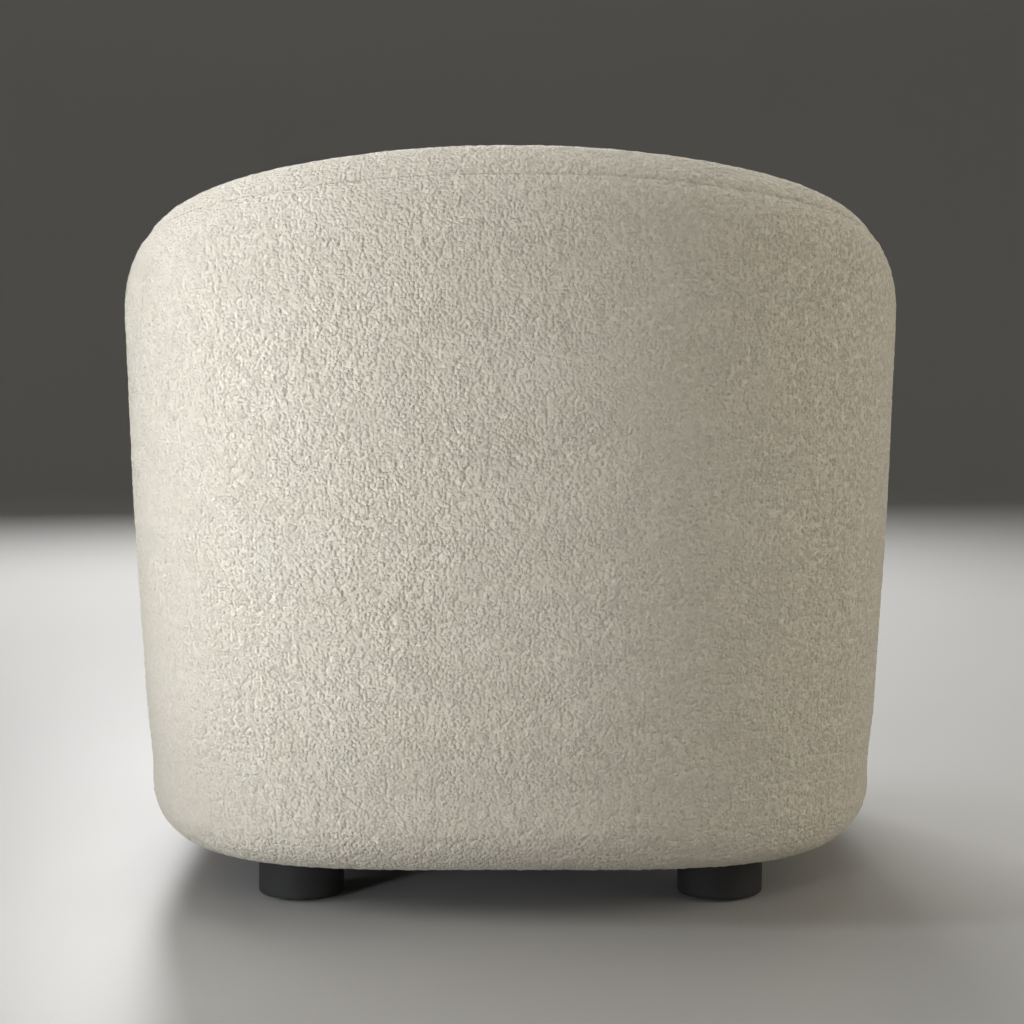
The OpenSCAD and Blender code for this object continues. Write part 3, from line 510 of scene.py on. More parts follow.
def yarn_group(name):
    """Shader group: loops of yarn over a cloth's place, with finer fibres."""
    inputs = [
        ("Place", "NodeSocketVector", None),
        ("Loop Size", "NodeSocketFloat", 0.0034),
        ("Warp", "NodeSocketFloat", 0.7),
        ("Fibre Size", "NodeSocketFloat", 0.0013),
        ("Fibre Share", "NodeSocketFloat", 0.5),
        ("Strand Size", "NodeSocketFloat", 0.0009),
        ("Strand Share", "NodeSocketFloat", 0.2),
    ]
    outputs = [(label, "NodeSocketFloat") for label in ("Height", "Loop", "Random")]
    tree, entry, exit_ = group_tree(name, "ShaderNodeTree", inputs, outputs)
    place = entry["Place"]
    height, chance = loop_pattern(tree, place, entry["Loop Size"], entry["Warp"])
    centred = vector_node(tree, "SUBTRACT", chance, (0.5, 0.5, 0.5))
    across = vector_node(tree, "DOT_PRODUCT", vector_node(tree, "NORMALIZE", centred), place)
    turn = math_node(tree, "DIVIDE", 2 * math.pi, entry["Strand Size"])
    ply = math_node(tree, "SINE", math_node(tree, "MULTIPLY", across, turn))
    twist = math_node(tree, "MULTIPLY", math_node(tree, "MULTIPLY", ply, height), entry["Strand Share"])
    clump_size = math_node(tree, "MULTIPLY", entry["Loop Size"], CLUMP)
    clump, _ = loop_pattern(tree, place, clump_size, entry["Warp"])
    fine = math_node(tree, "DIVIDE", 1.0, entry["Fibre Size"])
    fibre = add(tree, "ShaderNodeTexNoise", {"Vector": place, "Scale": fine, "Detail": 2.0, "Roughness": 0.6})
    fuzz = math_node(tree, "MULTIPLY", fibre.outputs["Fac"], entry["Fibre Share"])
    both = math_node(tree, "MULTIPLY_ADD", clump, 0.5, height)
    relief = math_node(tree, "ADD", both, twist)
    feed(tree, exit_["Height"], math_node(tree, "ADD", relief, fuzz))
    feed(tree, exit_["Loop"], math_node(tree, "MULTIPLY", both, 0.9, clamp=True))
    feed(tree, exit_["Random"], add(tree, "ShaderNodeSeparateXYZ", {0: chance}).outputs[1])
    return tree


def grain_group(name):
    """Shader group: a value that wanders over a surface, for blotches, wear and grain."""
    inputs = [
        ("Place", "NodeSocketVector", None),
        ("Size", "NodeSocketFloat", 0.05),
        ("Stretch", "NodeSocketVector", (1.0, 1.0, 1.0)),
        ("Low", "NodeSocketFloat", 0.0),
        ("High", "NodeSocketFloat", 1.0),
    ]
    tree, entry, exit_ = group_tree(name, "ShaderNodeTree", inputs, [("Value", "NodeSocketFloat")])
    stretched = vector_node(tree, "MULTIPLY", entry["Place"], entry["Stretch"])
    scale = math_node(tree, "DIVIDE", 1.0, entry["Size"])
    cloud = {"Vector": stretched, "Scale": scale, "Detail": 4.0, "Roughness": 0.55}
    noise = add(tree, "ShaderNodeTexNoise", cloud).outputs["Fac"]
    span = {"Value": noise, "From Min": 0.3, "From Max": 0.7, "To Min": entry["Low"], "To Max": entry["High"]}
    feed(tree, exit_[0], add(tree, "ShaderNodeMapRange", span).outputs[0])
    return tree


def use_group(tree, group, **inputs):
    values = {key.replace("_", " "): value for key, value in inputs.items()}
    return add(tree, "ShaderNodeGroup", values, node_tree=group).outputs


def wander(tree, place, size, low=0.0, high=1.0, stretch=(1.0, 1.0, 1.0)):
    """A value that wanders over a surface between low and high."""
    group = kept_group("Wandering tone", grain_group)
    return use_group(tree, group, Place=place, Size=size, Stretch=stretch, Low=low, High=high)[0]


def wave(tree, place, direction, scale, distortion=0.0):
    """Bands across a direction, for threads and plies."""
    values = {"Vector": place, "Scale": scale, "Distortion": distortion}
    return add(tree, "ShaderNodeTexWave", values, bands_direction=direction).outputs["Fac"]


def new_material(name, roughness, **sockets):
    """A material with one Principled shader. Its plain numbers sit on the shader's own sockets."""
    material = bpy.data.materials.new(name)
    material.use_nodes = True
    tree = material.node_tree
    shader = next(n for n in tree.nodes if n.type == "BSDF_PRINCIPLED")
    for key, value in {"Roughness": roughness, **sockets}.items():
        shader.inputs[key.replace("_", " ")].default_value = value
    return material, tree, shader


def object_place(tree):
    return add(tree, "ShaderNodeTexCoord").outputs["Object"]


def mix_colours(tree, factor, a, b, blend="MIX"):
    node = add(tree, "ShaderNodeMix", {0: factor, 6: a, 7: b}, data_type="RGBA", blend_type=blend)
    return node.outputs[2]


def dress(tree, shader, colour, rough=None, relief=None, depth=0.0):
    """Feeds a shader its colour, its roughness where that changes, and its relief in metres."""
    feed(tree, shader.inputs["Base Color"], colour)
    feed(tree, shader.inputs["Roughness"], rough)
    if relief is not None:
        bump = add(tree, "ShaderNodeBump", {"Distance": depth, "Height": relief})
        feed(tree, shader.inputs["Normal"], bump.outputs["Normal"])


def boucle_material(name):
    """Cream looped wool: crowded bent loops with painted shade darkening the gaps between them, and a soft
    sheen.
    """
    look = bpy.context.scene.chair_cloth
    material, tree, shader = new_material(
        name,
        0.7,
        Sheen_Weight=0.2,
        Sheen_Roughness=0.45,
        Sheen_Tint=(1.0, 0.97, 0.9, 1.0),
        Specular_IOR_Level=0.5,
    )
    cloth_place = add(tree, "ShaderNodeAttribute", attribute_type="GEOMETRY", attribute_name="cloth_place")
    place = cloth_place.outputs["Vector"]
    yarn = use_group(
        tree,
        kept_group("Looped yarn", yarn_group),
        Place=place,
        Loop_Size=look.loop_size,
        Warp=look.loop_bend,
        Fibre_Size=0.0013,
        Fibre_Share=0.5,
        Strand_Size=0.0009,
        Strand_Share=0.2,
    )
    red, green, blue = look.cloth_colour
    warm = (red * 0.985, green * 0.975, blue * 0.955, 1.0)
    base = mix_colours(tree, wander(tree, place, 0.07), (red, green, blue, 1.0), warm)
    # Painted shade: the colour is darkened in the gaps between the loops, standing in for the shade that falls
    # there.
    painted_gap_shade = mix_colours(tree, yarn["Loop"], (0.741, 0.702, 0.6318, 1.0), (1, 1, 1, 1))
    mixed = mix_colours(tree, 0.2, base, painted_gap_shade, "MULTIPLY")
    fleck = math_node(tree, "MULTIPLY_ADD", yarn["Random"], 0.06, 0.95)
    colour = vector_node(tree, "SCALE", mixed, scale=fleck)
    rough = math_node(tree, "MULTIPLY_ADD", yarn["Loop"], -0.45, 0.92)
    dress(tree, shader, colour, rough, yarn["Height"], 0.0027)
    return material


def lining_material(name):
    """Charcoal cloth of fine crossed threads."""
    material, tree, shader = new_material(name, 0.9, Specular_IOR_Level=0.25)
    place = object_place(tree)
    threads = [wave(tree, place, direction, 260.0, 1.5) for direction in "XY"]
    weave = math_node(tree, "MAXIMUM", *threads)
    mixed = mix_colours(tree, weave, (0.012, 0.012, 0.014, 1), (0.045, 0.044, 0.046, 1))
    colour = vector_node(tree, "SCALE", mixed, scale=wander(tree, place, 0.04, 0.75, 1.15))
    dress(tree, shader, colour, None, weave, 0.0004)
    return material


def foot_material(name):
    """Matt black lacquer over turned wood: faint grain and an uneven sheen."""
    material, tree, shader = new_material(name, 0.5, Specular_IOR_Level=0.06)
    place = object_place(tree)
    grain = wander(tree, place, 0.004, stretch=(1.0, 1.0, 0.12))
    blotch = wander(tree, place, 0.03)
    colour = mix_colours(tree, blotch, (0.004, 0.004, 0.0043, 1), (0.008, 0.0079, 0.0078, 1))
    dress(tree, shader, colour, math_node(tree, "MULTIPLY_ADD", blotch, 0.16, 0.42), grain, 0.00012)
    return material


def glide_material(name):
    """Grey felt."""
    material, tree, shader = new_material(name, 0.95, Specular_IOR_Level=0.2)
    felt = wander(tree, object_place(tree), 0.0012)
    colour = mix_colours(tree, felt, (0.05, 0.048, 0.046, 1), (0.1, 0.097, 0.092, 1))
    dress(tree, shader, colour, None, felt, 0.0005)
    return material


def steel_material(name):
    """Zinc plated steel with a faint brushed grain."""
    material, tree, shader = new_material(name, 0.35, Metallic=1.0)
    brushed = wander(tree, object_place(tree), 0.002, stretch=(1.0, 1.0, 8.0))
    colour = mix_colours(tree, brushed, (0.48, 0.48, 0.5, 1), (0.62, 0.62, 0.62, 1))
    dress(tree, shader, colour, math_node(tree, "MULTIPLY_ADD", brushed, 0.2, 0.28))
    return material


def plywood_material(name):
    """Birch plywood: long pale grain, with thin plies that show on upright edges."""
    material, tree, shader = new_material(name, 0.6)
    place = object_place(tree)
    grain = wander(tree, place, 0.012, stretch=(0.12, 1.0, 1.0))
    wood = mix_colours(tree, grain, (0.56, 0.39, 0.22, 1), (0.74, 0.57, 0.37, 1))
    plies = math_node(tree, "MULTIPLY", wave(tree, place, "Z", 110.0, 0.6), 0.25)
    dress(tree, shader, mix_colours(tree, plies, wood, (0.36, 0.22, 0.11, 1)), None, grain, 0.0003)
    return material


def webbing_material(name):
    """Black woven seat webbing: ribs across and fine threads along."""
    material, tree, shader = new_material(name, 0.8)
    place = object_place(tree)
    weave = math_node(tree, "MULTIPLY", *[wave(tree, place, direction, 90.0) for direction in "XY"])
    colour = mix_colours(tree, weave, (0.008, 0.008, 0.008, 1), (0.04, 0.04, 0.042, 1))
    dress(tree, shader, colour, None, weave, 0.0006)
    return material


def tape_material(name):
    """Cream zip tape of fine slanting ribs."""
    material, tree, shader = new_material(name, 0.85, Specular_IOR_Level=0.3)
    place = object_place(tree)
    ribs = wave(tree, place, "DIAGONAL", 420.0, 0.4)
    mixed = mix_colours(tree, ribs, (0.42, 0.38, 0.31, 1), (0.62, 0.57, 0.48, 1))
    colour = vector_node(tree, "SCALE", mixed, scale=wander(tree, place, 0.01, 0.9, 1.05))
    dress(tree, shader, colour, None, ribs, 0.0002)
    return material


FINISHES = {
    "boucle_cream": boucle_material,
    "lining_charcoal": lining_material,
    "foot_black": foot_material,
    "glide_grey": glide_material,
    "steel_zinc": steel_material,
    "plywood_birch": plywood_material,
    "webbing_black": webbing_material,
    "tape_cream": tape_material,
}


def finish(name):
    """The material of that name, made when it is first asked for."""
    return bpy.data.materials.get(name) or FINISHES[name](name)


# Covers


def outside_rows(step):
    """Rows of the outside cover's section, from its turned-in edge to the rim seam. Each is a part
    of the section and a place on it: a distance in, an angle, or a share of the face's height."""
    rows = []
    for s in np.linspace(EDGE_R + FLAP_W, EDGE_R, int(FLAP_W / step) + 1)[:-1]:
        rows.append(("flap", s))
    for t in np.linspace(-90, 0, int(EDGE_R * math.pi / 2 / step) + 1)[:-1]:
        rows.append(("edge", t))
    for share in np.linspace(0, 1, int((BACK_H - RIM_RISE - EDGE_TOP) / step) + 1)[:-1]:
        rows.append(("face", share))
    for t in np.linspace(0, RIM_SEAM, int(RIM_LOW_RUN / step) + 1):
        rows.append(("rim", t))
    return rows


def rim_point(wall, t, d):
    half = wall.w / 2
    return half - (half - d) * np.cos(math.radians(t)), wall.spring + (RIM_RISE - d) * math.sin(math.radians(t))


def outside_point(wall, row, d):
    kind, value = row
    if kind == "flap":
        return wall.place(value + 0 * wall.x, UNDER_Z + d)
    if kind == "edge":
        c, s = math.cos(math.radians(value)), math.sin(math.radians(value))
        z = EDGE_TOP + (EDGE_R - d) * s
        return wall.place(EDGE_R - (EDGE_R - d) * c - fullness(z), z)
    if kind == "face":
        z = EDGE_TOP + value * (wall.spring - EDGE_TOP) + 0 * d
        return wall.place(d - fullness(z), z)
    return wall.place(*rim_point(wall, value, d))


def inside_point(wall, row, d):
    kind, value = row
    if kind == "rim":
        return wall.place(*rim_point(wall, value, d))
    z = RING_TOP + value * (wall.spring - RING_TOP)
    return wall.place(wall.inner(z) - d, z + 0 * d)


def wall_cover(name, spacing, rows, backs, seam_row, point, keep):
    """A cover along the whole sweep. Rows make its face and backs its reverse. Seam_row is the one
    sewn at the rim, point places a row, and keep says how far a row's loops stand up."""
    look = bpy.context.scene.chair_cloth
    u, run, total = even_places(spacing)
    wall = Wall(u)
    from_end = np.minimum(run, total - run)
    side_in = seam_dip(from_end, look.seam_depth)
    skin, raised = [], []
    for row in rows:
        seam_in, stand = 0.0, keep(row)
        if row[0] == "rim":
            left = math.radians(abs(row[1] - RIM_SEAM)) * RIM_ARC_R
            seam_in = float(seam_dip(left, look.seam_depth))
            stand = float(ease(left / SEAM_BARE))
        skin.append(point(wall, row, np.maximum(side_in, seam_in)))
        raised.append(stand * ease(from_end / SEAM_BARE))
    reverse = []
    for row in backs:
        dip = look.seam_depth if row is seam_row else 0.0
        reverse.append(point(wall, row, np.maximum(side_in, dip) + COVER_T))
    return looped_cover(name, skin, reverse, raised)


def make_outside_cover():
    step = bpy.context.scene.chair_cloth.grid_step
    rows = outside_rows(step)
    backs = [rows[0], ("edge", -90), ("edge", -45), ("edge", 0), ("face", 0.35), ("face", 0.7)]
    backs += [("rim", 0), ("rim", 22), rows[-1]]

    def keep(row):
        return float(ease((EDGE_R + FLAP_W - row[1]) / 0.01)) * 0.5 if row[0] == "flap" else 1.0

    piece = wall_cover("outside_cover_cloth", step, rows, backs, rows[-1], outside_point, keep)
    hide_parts("outside_cover", "outside_wadding")
    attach(piece, "chair")


def make_inside_cover():
    step = bpy.context.scene.chair_cloth.grid_step
    rows = [("rim", t) for t in np.linspace(RIM_SEAM, 180, int(RIM_OVER_RUN / step) + 1)[:-1]]
    rows += [("face", share) for share in np.linspace(1, 0, int((BACK_H - RIM_RISE - RING_TOP) / step) + 1)]
    backs = [rows[0]] + [("rim", t) for t in range(60, 181, 20)] + [("face", 0.5), rows[-1]]

    def keep(row):
        return float(ease(row[1] / 0.03))

    piece = wall_cover("inside_cover_cloth", step * 1.1, rows, backs, rows[0], inside_point, keep)
    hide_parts("inside_cover", "inside_foam", "rim_foam")
    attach(piece, "chair")


def nose_radius(z):
    """Radius of a nose at heights z, where it rounds in to the underside."""
    low = np.clip((EDGE_TOP - z) / EDGE_R, 0, 1)
    return WALL / 2 - EDGE_R + EDGE_R * np.sqrt(1 - low**2)


def nose_point(side, turn, r, z):
    """A point of a nose: turn degrees round from the outside, r out from its middle line."""
    middle = nose_middle(z)
    a = np.radians(turn)
    x = middle[..., 0] + r * (NOSE_OUT[0] * np.cos(a) + NOSE_FWD[0] * np.sin(a))
    y = middle[..., 1] + r * (NOSE_OUT[1] * np.cos(a) + NOSE_FWD[1] * np.sin(a))
    return np.stack([side * x, y, z], -1)


def make_nose(side, label):
    look = bpy.context.scene.chair_cloth
    step = look.grid_step
    half = WALL / 2
    small = half - EDGE_R
    turns = np.linspace(0, 180, int(math.pi * half / step) + 1)

    def row_at(kind, value, depth):
        """Radius and height of a row, less the dip beside the seam, and its distance from the seam."""
        c, s = math.cos(math.radians(value)), math.sin(math.radians(value))
        if kind == "flap":
            r, z = value * small, UNDER_Z
        elif kind == "edge":
            r, z = small + EDGE_R * c, EDGE_TOP + EDGE_R * s
        elif kind == "face":
            r, z = half, EDGE_TOP + value * (NOSE_SPRING - EDGE_TOP)
        else:
            r, z = half * c, NOSE_SPRING + RIM_RISE * s
        r, z = np.full_like(turns, r), np.full_like(turns, z)
        away = r * np.sin(np.radians(turns))
        if kind == "flap":
            return r, z + depth, away
        dip = seam_dip(away, look.seam_depth) + depth - fullness(z) * ease(1 - turns / 90)
        if kind == "rim":
            return (half - dip) * c, NOSE_SPRING + (RIM_RISE - dip) * s, away
        if kind == "edge":
            return small + (EDGE_R - dip) * c, EDGE_TOP + (EDGE_R - dip) * s, away
        return r - dip, z, away

    rows = [("flap", v) for v in np.linspace(0.7, 1, 6)[:-1]]
    rows += [("edge", t) for t in np.linspace(-90, 0, int(EDGE_R * math.pi / 2 / step) + 1)[:-1]]
    rows += [("face", v) for v in np.linspace(0, 1, int((NOSE_SPRING - EDGE_TOP) / step) + 1)[:-1]]
    rows += [("rim", t) for t in np.linspace(0, 90, int(NOSE_CAP_RUN / step) + 1)]
    backs = [rows[0], ("edge", -90), ("edge", -45), ("edge", 0), ("face", 0.5)]
    backs += [("rim", t) for t in (0, 30, 60, 90)]
    skin, raised, reverse = [], [], []
    for kind, value in rows:
        r, z, away = row_at(kind, value, 0.0)
        skin.append(nose_point(side, turns, r, z))
        raised.append(ease(away / SEAM_BARE) * (0.5 if kind == "flap" else 1.0))
    for kind, value in backs:
        r, z, _ = row_at(kind, value, COVER_T)
        reverse.append(nose_point(side, turns, r, z))
    piece = looped_cover(f"nose_cloth_{label}", skin, reverse, raised)
    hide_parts(f"nose_cover_{label}", f"nose_foam_{label}")
    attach(piece, "chair")


def front_reach(radii, heights):
    """How far round the bowed front each row runs before it meets the noses and the arms.
    Low rows run on under the arms, to the turned-in edge of the outside cover."""
    u = np.linspace(BACK_BAYS, LAST, 60)
    wall = Wall(u)
    angles = np.radians(np.linspace(10, 36, 521))
    ends = []
    for r, z in zip(radii, heights):
        x, y = r * np.sin(angles), FRONT_C - r * np.cos(angles)
        middle = nose_middle(np.full(1, z))[0]
        nose_gap = np.hypot(x - middle[0], y - middle[1]) - (nose_radius(z) - 0.0025)
        reach = WALL - 0.038 * ease((EDGE_TOP - z) / EDGE_R)
        face = wall.place(np.full_like(u, reach), np.full_like(u, z))
        order = np.argsort(face[:, 1])
        arm_x = np.interp(y, face[order, 1], face[order, 0])
        arm_gap = np.where(y > face[order, 1][0], arm_x + 0.0015 - x, 1.0)
        blocked = (nose_gap < 0) | (arm_gap < 0)
        ends.append(angles[np.argmax(blocked)] if blocked.any() else angles[-1])
    return np.array(ends)


def front_profile(d, step=None):
    """The seat front's section as (radius, height), d under its skin. Without a step it is a coarse one."""

    def parts(length, least):
        return (max(int(length / step), 1) if step else least) + 1

    points = []
    for r in np.linspace(FRONT_BOARD_R - FLAP_W, FRONT_BOARD_R, parts(FLAP_W, 1))[:-1]:
        points.append((r, UNDER_Z + d))
    for t in np.radians(np.linspace(-90, 0, parts(EDGE_R * 1.57, 4))[:-1]):
        points.append((FRONT_BOARD_R + (EDGE_R - d) * math.cos(t), EDGE_TOP + (EDGE_R - d) * math.sin(t)))
    top, flat = DECK_H - FRONT_EDGE_R, FRONT_R - FRONT_EDGE_R
    for z in np.linspace(EDGE_TOP, top, parts(top - EDGE_TOP, 2))[:-1]:
        points.append((FRONT_R - d, z))
    for t in np.radians(np.linspace(0, 90, parts(FRONT_EDGE_R * 1.57, 4))[:-1]):
        points.append((flat + (FRONT_EDGE_R - d) * math.cos(t), top + (FRONT_EDGE_R - d) * math.sin(t)))
    for r in np.linspace(flat, LIP_R, parts(flat - LIP_R, 1)):
        points.append((r, DECK_H - d))
    return np.array(points)


def make_seat_front():
    step = bpy.context.scene.chair_cloth.grid_step
    columns = int(2 * FRONT_R * math.radians(25) / step) + 1
    share = np.linspace(-1, 1, columns)

    def surface(points):
        a = front_reach(points[:, 0], points[:, 1])[:, None] * share[None, :]
        r, z = points[:, 0][:, None], np.repeat(points[:, 1][:, None], columns, 1)
        return np.stack([r * np.sin(a), FRONT_C - r * np.cos(a), z], -1)

    skin = surface(front_profile(0.0, step))
    raised = np.ones(skin.shape[:2])
    raised *= ease((1 - np.abs(share)) * FRONT_R * 0.4 / 0.004)[None, :]
    raised[[0, -1]] = 0
    piece = looped_cover("seat_front_cloth", skin, surface(front_profile(COVER_T)), raised)
    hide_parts("front_cover", "front_foam")
    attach(piece, "chair")


# Seat cushion


def cushion_outline(step):
    """The cushion's fullest outline, anticlockwise from the middle of the back, evenly spaced."""
    u = np.linspace(0, LAST, 120)
    wall = Wall(u)
    z = np.full_like(u, DECK_H)
    below = np.maximum(wall.spring - z, 0)
    side = wall.place(wall.w + RECLINE * wall.share * below + CUSHION_GAP, z)[:, :2]
    side_x = side[-1, 0]
    corner_x = side_x - CUSHION_CORNER_R
    corner_y = FRONT_C - math.sqrt((CUSHION_R - CUSHION_CORNER_R) ** 2 - corner_x**2)
    turn = math.degrees(math.atan2(corner_x, FRONT_C - corner_y))
    t = np.radians(np.linspace(0, -(90 - turn), 24))
    corner = np.stack([corner_x + CUSHION_CORNER_R * np.cos(t), corner_y + CUSHION_CORNER_R * np.sin(t)], -1)
    t = np.radians(np.linspace(turn, 0, 30)[1:])
    front = np.stack([CUSHION_R * np.sin(t), FRONT_C - CUSHION_R * np.cos(t)], -1)
    right = np.concatenate([side, corner, front])
    left = right[::-1][1:-1] * [-1, 1]
    loop = np.concatenate([right, left, right[:1]])
    run = np.concatenate([[0], np.cumsum(np.hypot(*np.diff(loop, axis=0).T))])
    marks = np.linspace(0, run[-1], int(run[-1] / step) + 1)[:-1]
    return np.stack([np.interp(marks, run, loop[:, 0]), np.interp(marks, run, loop[:, 1])], -1)


def cushion_rings(outline, shrink):
    """Rings of the cushion from the middle of its underside to the top of its crown."""
    lower, upper = CUSHION_Z + CUSHION_LOWER, CUSHION_Z + CUSHION_SEAM_H

    def ring(d, share, z):
        v = outline - CUSHION_MIDDLE
        r = np.hypot(v[:, 0], v[:, 1])[:, None]
        p = CUSHION_MIDDLE + v * (1 - (d + shrink) / r) * share
        return np.concatenate([p, np.full((len(p), 1), z)], -1)

    rings = [ring(0.027, s, CUSHION_Z + shrink * 0.3) for s in (0.3, 0.6, 0.85, 1.0)]
    rings.append(ring(CUSHION_DRAW, 1, lower))
    for share in np.linspace(0, 1, 14)[1:-1]:
        rings.append(ring(CUSHION_DRAW * (2 * share - 1) ** 2, 1, lower + share * (upper - lower)))
    rings.append(ring(CUSHION_DRAW, 1, upper))
    for share in (0.985, 0.965, 0.94, 0.9, 0.84, 0.75, 0.62, 0.46, 0.3, 0.15):
        rings.append(ring(CUSHION_DRAW, share, upper + (CUSHION_CROWN - shrink) * (1 - share**CROWN_POWER)))
    return rings


def run_cloth(obj, frames, pressure, sideways, upward):
    """Swells a closed mesh as stuffed cloth and caps how far each point goes."""
    mesh = obj.data
    before = read(mesh.vertices, "co", 3)
    cloth = obj.modifiers.new("Cloth", "CLOTH")
    settings = cloth.settings
    settings.quality = 5
    settings.use_pressure = True
    settings.uniform_pressure_force = pressure
    settings.effector_weights.gravity = 0
    settings.tension_stiffness = 12
    settings.compression_stiffness = 12
    settings.bending_stiffness = 0.8
    settings.tension_damping = 10
    cloth.collision_settings.use_collision = False
    cloth.point_cache.frame_start = 1
    cloth.point_cache.frame_end = frames
    scene = bpy.context.scene
    for number in range(1, frames + 1):
        scene.frame_set(number)
    evaluated = obj.evaluated_get(bpy.context.evaluated_depsgraph_get())
    move = read(evaluated.data.vertices, "co", 3) - before
    obj.modifiers.clear()
    scene.frame_set(1)
    flat = np.hypot(move[:, 0], move[:, 1])
    move[:, :2] *= np.where(flat > sideways, sideways / np.maximum(flat, 1e-9), 1)[:, None]
    held = ease((before[:, 2] - before[:, 2].min()) / 0.06)
    move[:, 2] = np.clip(move[:, 2] * held, -0.002, upward)
    mesh.vertices.foreach_set("co", (before + move).reshape(-1))
    mesh.update()


def cushion_marks(rest, outline):
    """How near each point of the sewn cushion is to its two seams, and whether it lies underneath."""
    v = rest[:, :2] - CUSHION_MIDDLE
    w = outline - CUSHION_MIDDLE
    ring_angle = np.arctan2(w[:, 1], w[:, 0])
    order = np.argsort(ring_angle)
    ring_reach = np.hypot(w[:, 0], w[:, 1])[order]
    edge = np.interp(np.arctan2(v[:, 1], v[:, 0]), ring_angle[order], ring_reach, period=2 * math.pi)
    inset = edge - CUSHION_DRAW - CUSHION_SLACK - np.hypot(v[:, 0], v[:, 1])
    near = np.full(len(rest), 1.0)
    for seam in (CUSHION_Z + CUSHION_LOWER, CUSHION_Z + CUSHION_SEAM_H):
        near = np.minimum(near, np.hypot(inset, rest[:, 2] - seam))
    return near, (rest[:, 2] < CUSHION_Z + 0.004) & (inset > 0.050)


def make_seat_cushion():
    look = bpy.context.scene.chair_cloth
    outline = cushion_outline(CUSHION_STEP)
    rings = cushion_rings(outline, CUSHION_SLACK)
    m = len(outline)
    points = [(*CUSHION_MIDDLE, CUSHION_Z)] + [tuple(p) for r in rings for p in r]
    points.append((*CUSHION_MIDDLE, CUSHION_Z + CUSHION_SEAM_H + CUSHION_CROWN - CUSHION_SLACK))
    faces = [[0, 1 + (i + 1) % m, 1 + i] for i in range(m)]
    faces += grid_faces(len(rings), m, close_columns=True, first=1)
    top = 1 + (len(rings) - 1) * m
    faces += [[top + i, top + (i + 1) % m, len(points) - 1] for i in range(m)]
    piece = outward(new_piece("seat_cushion_cloth", points, faces))
    remesh = piece.modifiers.new("Remesh", "REMESH")
    remesh.mode = "VOXEL"
    remesh.voxel_size = CUSHION_VOXEL
    mesh = settle(piece)
    near, under = cushion_marks(read(mesh.vertices, "co", 3), outline)
    run_cloth(piece, 20, 4.0, 0.0025, 0.010)
    note(mesh, "near_seam", near)
    note(mesh, "underside", under)
    finer = piece.modifiers.new("Subdivision", "SUBSURF")
    finer.levels = finer.render_levels = 1
    mesh = settle(piece)
    co = read(mesh.vertices, "co", 3)
    normal = read(mesh.vertex_normals, "vector", 3)
    near = read(mesh.attributes["near_seam"].data, "value", kind=np.float32)
    below = read(mesh.attributes["underside"].data, "value", kind=np.float32)
    co -= normal * seam_dip(near, look.seam_depth, 0.010)[:, None]
    from_back = np.abs(np.arctan2(co[:, 0] - CUSHION_MIDDLE[0], co[:, 1] - CUSHION_MIDDLE[1]))
    beyond = np.maximum(from_back - ZIP_HALF_TURN, 0) * 0.3
    by_zip = np.hypot(np.maximum(np.abs(co[:, 2] - ZIP_Z) - ZIP_HALF_W, 0), beyond)
    co -= normal * seam_dip(by_zip, ZIP_SINK, 0.005)[:, None]
    co[:, 2] = np.maximum(co[:, 2], CUSHION_Z)
    mesh.vertices.foreach_set("co", co.reshape(-1))
    note(mesh, "raised", ease(near / 0.006) * ease((by_zip - 0.001) / 0.004) * (1 - below))
    smooth(mesh)
    cloth = finish("boucle_cream")
    mesh = raise_loops(piece, cloth).data
    give_materials(mesh, cloth, finish("lining_charcoal"))
    below = read(mesh.attributes["underside"].data, "value", kind=np.float32)
    for face in mesh.polygons:
        face.material_index = 1 if all(below[i] > 0.5 for i in face.vertices) else 0
    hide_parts("cushion_top", "cushion_boxing", "cushion_bottom", "cushion_core")
    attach(piece, "seat_cushion")
    make_zip(piece)


def zip_path(cushion):
    """The zip's line round the back of the cushion's side, on its cloth: points, run and outward side."""
    tree = BVHTree.FromObject(cushion, bpy.context.evaluated_depsgraph_get())
    turns = np.linspace(-ZIP_HALF_TURN, ZIP_HALF_TURN, 241)
    middle = Vector((*CUSHION_MIDDLE, ZIP_Z))
    reach = []
    for a in turns:
        way = Vector((math.sin(a), math.cos(a), 0))
        hit, _, _, _ = tree.ray_cast(middle + way * 0.6, -way)
        reach.append((hit - middle).length)
    reach = np.convolve(np.pad(reach, 8, mode="edge"), np.ones(17) / 17, mode="valid")
    flat = CUSHION_MIDDLE + reach[:, None] * np.stack([np.sin(turns), np.cos(turns)], -1)
    run = np.gradient(flat, axis=0)
    run /= np.hypot(run[:, 0], run[:, 1])[:, None]
    side = np.stack([-run[:, 1], run[:, 0], 0 * run[:, 0]], -1)
    return np.concatenate([flat, np.full((len(flat), 1), ZIP_Z)], -1), run, side


